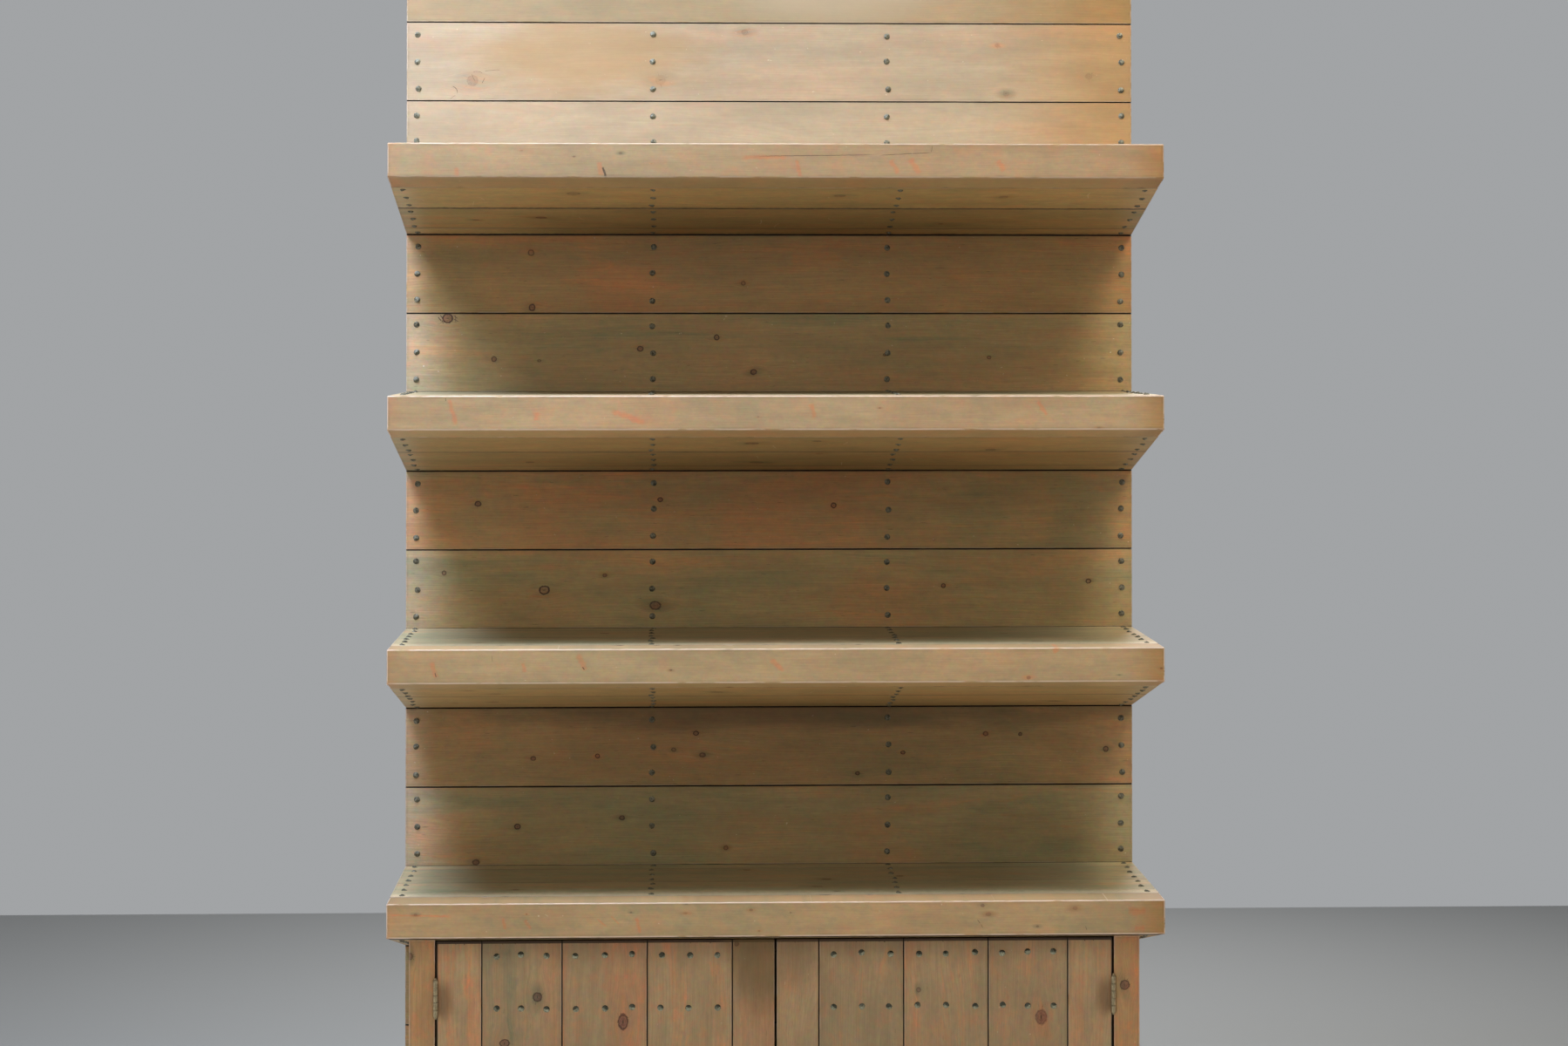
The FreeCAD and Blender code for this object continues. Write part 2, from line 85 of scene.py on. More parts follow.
class Graph:
    """Short forms for building a node tree."""

    def __init__(self, tree):
        self.tree = tree
        self.nodes = tree.nodes
        self.links = tree.links

    def new(self, kind, **props):
        node = self.nodes.new(kind)
        for key, value in props.items():
            setattr(node, key, value)
        return node

    def put(self, socket, value):
        if isinstance(value, bpy.types.NodeSocket):
            self.links.new(value, socket)
        elif value is not None:
            socket.default_value = value

    def fill(self, node, **values):
        """Set or link inputs of a node by name, with _ for a space."""
        for key, value in values.items():
            self.put(node.inputs[key.replace("_", " ")], value)
        return node

    def math(self, op, a, b=None):
        node = self.new("ShaderNodeMath", operation=op)
        for socket, value in zip(node.inputs, (a, b)):
            self.put(socket, value)
        return node.outputs[0]

    def add(self, a, b):
        return self.math("ADD", a, b)

    def sub(self, a, b):
        return self.math("SUBTRACT", a, b)

    def mul(self, a, b):
        return self.math("MULTIPLY", a, b)

    def most(self, a, b):
        return self.math("MAXIMUM", a, b)

    def size(self, a):
        return self.math("ABSOLUTE", a)

    def swing(self, a, amount):
        """A value that lies about one half, turned into a change about nothing."""
        return self.mul(self.sub(a, 0.5), amount)

    def vec(self, op, a, b=None, scale=None):
        node = self.new("ShaderNodeVectorMath", operation=op)
        self.put(node.inputs[0], a)
        self.put(node.inputs[1], b)
        if scale is not None:
            self.fill(node, Scale=scale)
        return node.outputs["Value"] if op in ("LENGTH", "DOT_PRODUCT") else node.outputs["Vector"]

    def join(self, x, y, z=0.0):
        node = self.new("ShaderNodeCombineXYZ")
        for socket, value in zip(node.inputs, (x, y, z)):
            self.put(socket, value)
        return node.outputs[0]

    def split(self, vector):
        return self.fill(self.new("ShaderNodeSeparateXYZ"), Vector=vector).outputs

    def noise(self, vector, scale, detail=2.0, rough=0.5, output="Fac"):
        node = self.new("ShaderNodeTexNoise", noise_dimensions="3D")
        return self.fill(node, Vector=vector, Scale=scale, Detail=detail, Roughness=rough).outputs[output]

    def smooth(self, x, low, high, to_low=0.0, to_high=1.0):
        node = self.new("ShaderNodeMapRange", interpolation_type="SMOOTHSTEP")
        return self.fill(node, Value=x, From_Min=low, From_Max=high, To_Min=to_low, To_Max=to_high).outputs["Result"]

    def fade(self, x, low, high):
        return self.smooth(x, low, high, 1.0, 0.0)

    def mix(self, factor, a, b, blend="MIX"):
        node = self.fill(self.new("ShaderNodeMix", data_type="RGBA", blend_type=blend), Factor=factor)
        for name, value in (("A", a), ("B", b)):
            socket = [s for s in node.inputs if s.name == name and s.type == "RGBA"][0]
            self.put(socket, (*value, 1.0) if isinstance(value, tuple) else value)
        return [s for s in node.outputs if s.type == "RGBA"][0]

    def tint(self, factor, colour, by):
        return self.mix(factor, colour, by, "MULTIPLY")

    def attribute(self, name, output="Vector"):
        return self.new("ShaderNodeAttribute", attribute_type="GEOMETRY", attribute_name=name).outputs[output]

    def bump(self, height, strength, distance):
        return self.fill(self.new("ShaderNodeBump"), Strength=strength, Distance=distance, Height=height).outputs[0]

    def blend(self, output, factor, first, second):
        """Give the surface of an output node a mix of two shaders."""
        both = self.new("ShaderNodeMixShader")
        for socket, value in zip(both.inputs, (factor, first.outputs[0], second.outputs[0])):
            self.put(socket, value)
        self.fill(self.nodes[output], Surface=both.outputs[0])


def new_material(name):
    """A material with its graph and its shader."""
    material = bpy.data.materials.new(name)
    material.use_nodes = True
    g = Graph(material.node_tree)
    return material, g, g.nodes["Principled BSDF"]


def group_graph(name, vectors, floats, running):
    """A node group that takes and returns the running values, with its graph, inputs and outputs."""
    tree = bpy.data.node_groups.new(name, "ShaderNodeTree")
    face = tree.interface
    for kind, names in (("Vector", vectors), ("Float", floats + running)):
        for key in names:
            face.new_socket(key, in_out="INPUT", socket_type="NodeSocket" + kind)
    for key in running:
        face.new_socket(key, in_out="OUTPUT", socket_type="NodeSocketFloat")
    face.new_socket("Place", in_out="OUTPUT", socket_type="NodeSocketVector")
    g = Graph(tree)
    return g, g.new("NodeGroupInput").outputs, g.new("NodeGroupOutput").inputs


def pass_on(g, source, target, last):
    """Each mark waits for the one before it, so that few values are kept at a time."""
    g.put(target["Place"], g.vec("ADD", source["Place"], g.join(g.mul(last, 1e-9), 0.0)))


def knot_group():
    """One knot: it bends the grain round itself and adds its body, rim, cracks and stain."""
    running = ("Shift", "Body", "Rim", "Crack", "Halo")
    g, source, target = group_graph("knot", ("Place", "Centre", "Size"), (), running)
    size = g.split(source["Size"])
    chance = g.new("ShaderNodeTexWhiteNoise", noise_dimensions="3D")
    g.fill(chance, Vector=source["Centre"])
    style = chance.outputs["Value"]
    offset = g.split(g.vec("SUBTRACT", source["Place"], source["Centre"]))
    turn_cos = g.math("COSINE", size[2])
    turn_sin = g.math("SINE", size[2])
    along = g.add(g.mul(offset[0], turn_cos), g.mul(offset[1], turn_sin))
    across = g.sub(g.mul(offset[1], turn_cos), g.mul(offset[0], turn_sin))
    ragged = g.sub(g.noise(source["Place"], 260.0, 2.0), 0.5)
    du = g.math("DIVIDE", along, size[0])
    dv = g.math("DIVIDE", across, size[1])
    plain = g.vec("LENGTH", g.join(du, dv))
    r = g.add(plain, g.mul(ragged, 0.40))
    rings = g.math("SINE", g.mul(r, 17.0))
    firm = g.smooth(chance.outputs["Color"], 0.15, 0.75, 0.55, 1.0)
    body = g.mul(g.mul(g.fade(r, 0.78, 1.08), g.smooth(rings, -1.0, 1.0, 0.80, 1.0)), firm)
    breadth = g.smooth(size[1], 0.004, 0.010, 0.36, 0.20)
    lip = g.fade(g.size(g.sub(r, 0.90)), 0.08, breadth)
    rim = g.mul(g.mul(lip, g.smooth(style, 0.1, 0.7, 0.65, 1.0)), g.smooth(size[1], 0.0095, 0.0108, 1.0, 0.2))
    angle = g.join(g.math("DIVIDE", du, plain), g.math("DIVIDE", dv, plain), g.mul(style, 40.0))
    spokes = g.mul(g.smooth(g.noise(angle, 5.5, 1.0), 0.58, 0.66), g.smooth(g.noise(angle, 0.9, 0.0), 0.46, 0.58))
    broken = g.smooth(g.noise(source["Place"], 420.0, 1.0), 0.42, 0.55)
    reach = g.mul(g.smooth(plain, 0.85, 1.05), g.fade(plain, 1.2, 2.1))
    eye = g.mul(g.fade(g.size(dv), 0.04, 0.16), g.fade(g.size(du), 0.15, 0.42))
    crack = g.most(g.mul(g.mul(spokes, reach), broken), g.mul(eye, g.smooth(style, 0.35, 0.55)))
    halo = g.fade(g.vec("LENGTH", g.join(g.mul(du, 0.22), g.mul(dv, 0.38))), 0.15, 1.0)
    near = g.smooth(g.vec("LENGTH", g.join(g.mul(du, 0.16), g.mul(dv, 0.26))), 0.0, 1.0, 0.88, 0.0)
    g.put(target["Shift"], g.sub(source["Shift"], g.mul(across, near)))
    last = 0.0
    for name, value in (("Body", body), ("Rim", rim), ("Crack", crack), ("Halo", halo)):
        most = g.most(source[name], value)
        last = g.add(last, most)
        g.put(target[name], most)
    pass_on(g, source, target, last)
    return g.tree


def stroke_group():
    """A thin bowed line: a split, a scratch or a blush of the wash."""
    g, source, target = group_graph("stroke", ("Place", "Start", "Along", "Side"), ("Bow", "Width"), ("Mask",))
    offset = g.vec("SUBTRACT", source["Place"], source["Start"])
    t = g.vec("DOT_PRODUCT", offset, source["Along"])
    bend = g.mul(g.mul(source["Bow"], 4.0), g.mul(t, g.sub(1.0, t)))
    waver = g.swing(g.noise(source["Place"], 110.0, 2.0), g.add(g.mul(source["Width"], 1.2), 0.0006))
    off = g.size(g.add(g.sub(g.vec("DOT_PRODUCT", offset, source["Side"]), bend), waver))
    ends = g.mul(g.smooth(t, 0.0, 0.15), g.fade(t, 0.85, 1.0))
    mask = g.mul(g.fade(g.math("DIVIDE", off, source["Width"]), 0.2, 1.0), ends)
    most = g.most(source["Mask"], mask)
    g.put(target["Mask"], most)
    pass_on(g, source, target, most)
    return g.tree


KNOT = knot_group()
STROKE = stroke_group()
# Boards of a piece lie this far apart on the flat drawing that carries their knots and strokes
SPACING = 3.0

# What each mark does to the colour of the wash, as a factor a channel
GREYING = (0.71, 0.89, 0.95)
SALMON = (1.24, 0.94, 0.87)
ORANGE = (1.38, 0.93, 0.74)
FADED = (1.15, 1.18, 1.20)
LATE_WOOD = (0.72, 0.62, 0.55)
# These four sets paint light at the ends of boards, where the lamps reach in past the shelves' ends: on the planks
# between the shelves, on the shelf tops and under the shelves
PAINTED_END_LIGHT = [(-1, 0.060, (1.40, 1.50, 2.05)), (1, 0.120, (1.48, 1.36, 1.45))]
PAINTED_END_LIGHT_LOW = [(-1, 0.110, (1.50, 1.58, 2.20)), (1, 0.120, (1.34, 1.42, 1.60))]
PAINTED_END_LIGHT_TOP = [(-1, 0.060, (1.42, 1.30, 1.25)), (1, 0.120, (1.36, 1.27, 1.22))]
PAINTED_END_LIGHT_UNDER = [(-1, 0.060, (1.25, 1.40, 1.85)), (1, 0.060, (1.15, 1.20, 1.35))]
YELLOWED = [(1, 1.00, (1.15, 1.17, 1.18)), (1, 0.34, (0.92, 0.72, 0.48))]
SMOKED = [(-1, 0.030, (1.04, 0.92, 0.90)), (1, 0.075, (0.86, 0.72, 0.54))]
# The reds of the knots: dark and light, of the back planks and of all others
EMBERS = ((0.135, 0.048, 0.026), (0.290, 0.125, 0.062))
PLUMS = ((0.115, 0.046, 0.040), (0.230, 0.115, 0.092))

# How each kind of board looks: its ring lines, its wide bands, its streaks along the grain, its soft blots, its
# fibres, its fine mottle, the body, rims and cracks of its knots, and the width of the dark joint beside it
LOOKS = {
    "bay": (0.15, 0.85, 0.60, 0.32, 0.90, 1.6, 0.88, 1.00, 0.7, 0.0012),
    "upper": (0.10, 0.28, 0.20, 0.22, 0.40, 0.9, 0.42, 0.05, 0.4, 0.0008),
    "edge": (0.04, 0.25, 0.12, 0.36, 0.50, 1.2, 0.60, 0.10, 0.1, 0.0005),
    "shelf": (0.28, 0.50, 0.35, 0.45, 1.15, 1.7, 0.80, 0.50, 0.2, 0.0009),
    "door": (0.20, 0.75, 0.55, 0.48, 0.80, 1.4, 0.90, 0.70, 0.8, 0.0007),
}


def pine(
    name, base, knots=(), rough=0.50, stains=(), plain=False, ragged_end=0.0, seam=SEAM,
    look="shelf", strokes=(), below=None, gap=None, ends=(),
):
    """Washed and varnished pine. It reads the board's own coordinates from the mesh: u along it, v across, w through.

    base is the colour of the wash, and plain wood has none. below paints shade on the slope under a front batten,
    ends tint the ends of the boards, some of them with painted light, gap paints shade inside the gap beside a door,
    and ragged_end is how chipped the upper end is; a black band along that end is painted shade.
    """
    lines, bands, streaks, blots, fibres, mottles, bodies, rims, cracks, joint = LOOKS[look]
    material, g, shader = new_material(name)
    wood = g.attribute("wood")
    half = g.split(g.attribute("half"))
    board = g.split(g.attribute("board"))
    tone = g.split(g.attribute("tone"))
    u, v, w = g.split(wood)
    seed = board[0]

    def field(along, over, key, detail=2.0, roughness=0.5, third=None):
        """Noise stretched along the board, other for each board."""
        third = g.mul(seed, key) if third is None else third
        return g.noise(g.join(g.mul(u, along), over, third), 1.0, detail, roughness)

    # knots and strokes lie on the boards of a piece set out in a row
    flat = g.join(g.add(u, g.mul(g.math("MODULO", seed, 11.0), SPACING)), v)
    shift, body, rim, crack, halo = 0.0, 0.0, 0.0, 0.0, 0.0
    for ku, kv, size_u, size_v, angle, key in knots:
        knot = g.fill(
            g.new("ShaderNodeGroup", node_tree=KNOT), Place=flat, Centre=(ku + key % 11 * SPACING, kv, 0.0),
            Size=(size_u, size_v, angle), Shift=shift, Body=body, Rim=rim, Crack=crack, Halo=halo,
        )
        shift, body, rim, crack, halo, flat = [knot.outputs[i] for i in range(6)]
    masks = {"dark": 0.0, "blush": 0.0, "pale": 0.0}
    for kind, u0, v0, u1, v1, bow, width, key in strokes:
        du, dv = u1 - u0, v1 - v0
        length = math.hypot(du, dv)
        stroke = g.fill(
            g.new("ShaderNodeGroup", node_tree=STROKE), Place=flat, Start=(u0 + key % 11 * SPACING, v0, 0.0),
            Along=(du / length ** 2, dv / length ** 2, 0.0), Side=(-dv / length, du / length, 0.0),
            Bow=bow, Width=width * (1.7 if kind == "blush" else 1.0), Mask=masks[kind],
        )
        masks[kind], flat = stroke.outputs[0], stroke.outputs[1]

    # rings of the trunk, seen where the board cuts them
    slow = field(1.6, g.mul(v, 5.0), 3.1)
    sway = field(2.6, 0.0, 7.7)
    across = g.add(v, shift)
    rv = g.add(g.sub(across, board[1]), g.swing(sway, 0.060))
    rw = g.add(g.add(w, board[2]), g.swing(slow, 0.055))
    radius = g.vec("LENGTH", g.join(rv, rw))
    wobble = field(9.0, g.mul(v, 60.0), 1.3)
    ring = g.math("FRACT", g.add(g.mul(radius, 260.0), g.mul(wobble, 0.9)))
    late = g.mul(g.smooth(ring, 0.35, 0.90), g.fade(ring, 0.90, 1.0))

    # the wash lies in soft patches and in flames along the grain, and in blots
    cloud = field(5.0, g.mul(v, 20.0), 5.5, 4.0, 0.6)
    patch = field(2.2, g.add(g.mul(v, 14.0), g.mul(radius, 22.0)), 2.9, 3.0, 0.6)
    flame = field(3.4, g.mul(radius, 105.0), 8.3, 3.0, 0.6)
    thread = field(7.0, g.mul(radius, 300.0), 4.3, 2.0, 0.6)
    blot = g.noise(g.join(g.add(g.mul(u, 24.0), g.mul(v, 9.0)), g.mul(v, 34.0), g.mul(seed, 6.7)), 1.0, 4.0, 0.64)
    fibre = field(30.0, g.mul(across, 1400.0), 1.0, 2.0, 0.6, third=g.mul(w, 1400.0))
    strand = field(10.0, g.mul(across, 560.0), 6.1, 2.0, 0.65)

    colour = g.mix(g.smooth(cloud, 0.30, 0.72), tuple(c * 0.90 for c in base), tuple(c * 1.10 for c in base))
    thin = g.swing(thread, 0.30 * streaks)
    if plain:
        colour = g.tint(g.mul(late, 0.55), colour, LATE_WOOD)
    else:
        warm = g.mul(tone[0], bands)
        inside = g.smooth(flame, 0.575, 0.66)
        outline = g.fade(g.size(g.sub(flame, 0.605)), 0.0, 0.026)
        streak = g.mul(g.most(g.mul(inside, 0.42), g.mul(outline, 0.80)), g.smooth(cloud, 0.36, 0.58, 0.15, 1.0))
        hair = g.mul(g.smooth(thread, 0.56, 0.70), g.smooth(patch, 0.44, 0.58, 1.0, 0.35))
        for factor, mark in (
            (g.mul(g.smooth(g.add(patch, thin), 0.50, 0.66), g.mul(tone[1], bands)), GREYING),
            (g.mul(g.smooth(g.add(patch, thin), 0.49, 0.35), warm), SALMON),
            (g.mul(g.mul(streak, tone[0]), streaks), ORANGE),
            (g.mul(hair, 0.42 * streaks), ORANGE),
            (g.mul(g.smooth(blot, 0.51, 0.66), g.mul(tone[0], blots)), SALMON),
            (g.mul(g.smooth(blot, 0.49, 0.34), g.mul(tone[1], blots)), GREYING),
            (g.mul(late, g.smooth(cloud, 0.4, 0.62, 0.25 * lines, lines)), LATE_WOOD),
            (g.smooth(flame, 0.40, 0.30, 0.0, 0.55 * streaks), FADED),
        ):
            colour = g.tint(factor, colour, mark)

    # knots and strokes
    smudge = g.mul(halo, g.smooth(g.add(cloud, thin), 0.40, 0.62, 0.05, 1.0))
    colour = g.tint(smudge, colour, (0.56, 0.72, 0.78))
    colour = g.tint(g.mul(halo, g.smooth(thread, 0.46, 0.60, 0.0, 0.7)), colour, ORANGE)
    if masks["blush"] != 0.0:
        colour = g.tint(g.mul(masks["blush"], 0.78), colour, (1.24, 0.80, 0.70))
    heart = field(240.0, g.mul(v, 240.0), 1.0)
    colour = g.mix(
        g.mul(body, bodies), colour,
        g.mix(0.5, g.mix(g.smooth(heart, 0.35, 0.65), *(EMBERS if look == "bay" else PLUMS)),
              g.tint(1.0, colour, (0.50, 0.36, 0.42))),
    )
    colour = g.mix(g.mul(rim, 0.88 * rims), colour, (0.040, 0.015, 0.013))
    colour = g.mix(g.mul(crack, 0.80 * cracks), colour, (0.045, 0.036, 0.026))
    if masks["dark"] != 0.0:
        colour = g.mix(g.mul(masks["dark"], 0.85), colour, (0.050, 0.034, 0.026))

    # fibres, dark dashes, pale specks and scratches
    strength = g.add(g.swing(fibre, 0.44 * fibres), g.swing(strand, 0.46 * fibres))
    value = g.mul(g.add(1.0, strength), tone[2])
    colour = g.tint(1.0, colour, g.join(value, value, value))
    spot = g.join(g.add(g.mul(u, 70.0), g.mul(seed, 3.3)), g.mul(v, 85.0), g.mul(w, 85.0))
    mottle = g.vec("SUBTRACT", g.noise(spot, 1.0, 5.0, 0.85, "Color"), (0.5, 0.5, 0.5))
    colour = g.tint(1.0, colour, g.vec("ADD", g.vec("SCALE", mottle, scale=0.42 * mottles), (1.0, 1.0, 1.0)))
    dash = g.smooth(field(48.0, g.mul(v, 420.0), 1.9, 1.0), 0.725, 0.79)
    colour = g.mix(g.mul(dash, 0.50 * fibres * rims), colour, (0.075, 0.058, 0.038))
    pale = g.smooth(field(150.0, g.mul(v, 190.0), 2.3, 1.0), 0.775, 0.83)
    if masks["pale"] != 0.0:
        pale = g.most(pale, masks["pale"])
    colour = g.mix(g.mul(pale, 0.45), colour, (0.700, 0.620, 0.480))

    # wear and dirt by the distance to the nearest edge of the board
    edge = g.split(g.vec("SUBTRACT", g.join(*half), g.vec("ABSOLUTE", wood)))
    low = g.math("MINIMUM", edge[0], edge[1])
    high = g.most(edge[0], edge[1])
    distance = g.most(low, g.math("MINIMUM", high, edge[2]))
    rub = g.noise(g.join(g.mul(u, 16.0), g.mul(v, 70.0), g.mul(w, 70.0)), 1.0, 4.0, 0.6)
    if plain:
        dirt = g.smooth(distance, 0.0, 0.004, 0.45, 0.0)
        colour = g.mix(dirt, colour, tuple(c * 0.3 for c in base))
    else:
        dirt = g.mul(g.fade(distance, 0.0006, 0.007), g.smooth(rub, 0.40, 0.70, 0.05, 0.42))
        colour = g.mix(dirt, colour, (0.120, 0.092, 0.055))
    for way, reach, factor in ends:
        # the ends of the boards are tinted: some sets paint the light that reaches past the shelves' ends, others
        # yellow or darken the wood
        colour = g.tint(g.fade(g.add(g.mul(u, -way), half[0]), 0.0, reach), colour, factor)
    if below:
        # painted shade on the sloping underside of a front batten, towards its back
        colour = g.tint(g.smooth(g.add(v, half[1]), -0.0002, -0.0030), colour, below)
    if not plain:
        wear = g.attribute("wear", "Fac")
        worn = g.mul(g.fade(distance, 0.0004, 0.0030), g.smooth(g.add(rub, g.mul(wear, 0.12)), 0.44, 0.60))
        colour = g.mix(g.mul(worn, wear), colour, (0.790, 0.640, 0.560))
    if ragged_end:
        end = g.sub(half[0], u)
        torn = g.noise(g.join(g.mul(u, 160.0), g.mul(v, 260.0), seed), 1.0, 3.0, 0.6)
        chips = g.smooth(g.add(end, g.mul(g.sub(0.54, torn), 0.040)), 0.0, 0.004, ragged_end, 0.0)
        # a black band along the upper end of a door is painted shade: the gap and the worktop's underside above it
        line = g.fade(end, 0.0046, 0.0056)
        colour = g.mix(g.most(chips, line), colour, (0.030, 0.018, 0.013))
    # soft patches of colour about a point: stains, and painted shade where the list carries it
    for x, z, wide, tall, amount, mark_colour in stains:
        spot = g.new("ShaderNodeTexCoord").outputs["Object"]
        away = g.vec("MULTIPLY", g.vec("SUBTRACT", spot, (x, 0.0, z)), (1.0 / wide, 0.0, 1.0 / tall))
        reach = g.add(g.vec("LENGTH", away), g.swing(cloud, 0.8))
        colour = g.mix(g.smooth(reach, 0.35, 1.0, amount, 0.0), colour, mark_colour)
    if seam is not None:
        # the joint between two boards is dark: tongue, groove and the arrises beside them
        shoulder = g.sub(g.sub(half[1], v), seam)
        beside = g.math("MINIMUM", shoulder, g.add(half[1], v))
        tight = g.smooth(g.noise(g.join(g.mul(u, 4.0), seed), 1.0, 3.0, 0.7), 0.34, 0.52, 0.55, 1.0)
        colour = g.mix(g.mul(g.fade(beside, 0.0001, joint), tight), colour, (0.010, 0.008, 0.005))
    if gap:
        # painted shade inside the gap round a door: the edge faces of the boards go near black behind the front
        side = g.sub(half[1], v if gap == "inner" else g.size(v))
        deep = g.sub(half[2], w)
        mask = g.mul(g.fade(side, 0.0002, 0.0008), g.smooth(deep, 0.0008, 0.0020, 0.0, 0.88))
        colour = g.mix(mask, colour, (0.014, 0.011, 0.008))

    gloss = g.add(g.add(rough - 0.06, g.mul(strand, 0.12)), g.mul(crack, 0.2))
    height = g.add(g.mul(fibre, 0.35), g.add(g.mul(strand, 0.6), g.mul(late, 0.5 * lines)))
    height = g.add(g.add(height, g.mul(crack, -2.2 * cracks)), g.mul(rim, -1.4 * rims))
    normal = g.bump(height, 0.35, 0.0006)
    g.fill(shader, Base_Color=colour, Roughness=gloss, Specular_IOR_Level=0.30, Normal=normal)
    return material


def metal(name, dark, light, rough, metallic, grain, patina=None, shaded=False, dents=0.25):
    """Worn metal. With shaded set, shade is painted on: the faces that look up are darker and those that look down
    lighter.
    """
    material, g, shader = new_material(name)
    place = g.new("ShaderNodeTexCoord").outputs["Object"]
    coarse = g.noise(place, grain * 0.35, 3.0, 0.6)
    fine = g.noise(place, grain, 3.0, 0.65)
    colour = g.mix(g.smooth(coarse, 0.32, 0.66), dark, light)
    if patina:
        colour = g.mix(g.mul(g.smooth(fine, 0.48, 0.66), 0.6), colour, patina)
    # painted shade: darker on faces that look up, lighter on those that look down
    if shaded:
        up = g.split(g.new("ShaderNodeNewGeometry").outputs["Normal"])[2]
        value = g.smooth(up, -0.45, 0.40, 1.35, 0.25)
        colour = g.tint(1.0, colour, g.join(value, value, value))
    gloss = g.smooth(fine, 0.3, 0.7, rough - 0.08, rough + 0.12)
    g.fill(shader, Base_Color=colour, Roughness=gloss, Metallic=metallic, Normal=g.bump(coarse, dents, 0.0003))
    return material


# ---------------------------------------------------------------- boards


def between_rings(first, rings, sides):
    """Quads that join rings of points, each ring to the next."""
    return [
        (k + n, k + (n + 1) % sides, k + sides + (n + 1) % sides, k + sides + n)
        for k in range(first, first + (rings - 1) * sides, sides) for n in range(sides)
    ]


def orient(mesh, merge=0.0):
    """Turn the faces outward, after points closer than merge have been joined."""
    work = bmesh.new()
    work.from_mesh(mesh)
    if merge:
        bmesh.ops.remove_doubles(work, verts=work.verts, dist=merge)
    bmesh.ops.recalc_face_normals(work, faces=work.faces)
    work.to_mesh(mesh)
    work.free()


def solid_piece(name, verts, faces, body, material, node, angle, merge=0.0):
    mesh = bpy.data.meshes.new(name)
    mesh.from_pydata(verts, [], faces)
    orient(mesh, merge)
    finish_piece(name, mesh, body, material, node, angle)


CORNER_STEPS = 3


def corner(previous, point, following, radius):
    """Points of a rounded corner of a section."""
    if radius <= 0:
        return [point]
    point = np.array(point)
    start, end = [
        point + way / np.linalg.norm(way) * radius for way in (np.array(previous) - point, np.array(following) - point)
    ]
    shares = [n / CORNER_STEPS for n in range(CORNER_STEPS + 1)]
    return [tuple((1 - t) ** 2 * start + 2 * t * (1 - t) * point + t * t * end) for t in shares]


def section(points):
    """A closed outline of (v, w) points from corners (v, w, radius)."""
    out = []
    count = len(points)
    for n, (v, w, radius) in enumerate(points):
        out += corner(points[n - 1][:2], (v, w), points[(n + 1) % count][:2], radius)
    return out


def rectangle(hv, hw, radius):
    return section([(-hv, -hw, radius), (hv, -hw, radius), (hv, hw, radius), (-hv, hw, radius)])


def grooved(hv, hw, radius, tongue=True, groove=True):
    """A plank with a tongue on its high edge and a groove in its low one, the front at +w."""
    top = hv - SEAM if tongue else hv
    points = [(-hv, hw, radius), (top, hw, radius)]
    if tongue:
        half, tip = TONGUE_HALF, hv + TONGUE
        points += [(top, half, 0), (tip, half, 0), (tip, -half, 0), (top, -half, 0)]
    points += [(top, -hw, radius), (-hv, -hw, radius)]
    if groove:
        half, bed = TONGUE_HALF + PLAY, -hv + TONGUE + PLAY
        points += [(-hv, -half, 0), (bed, -half, 0), (bed, half, 0), (-hv, half, 0)]
    return section(points)


# How far the values of the boards of a piece lie apart
SPREAD = 0.06


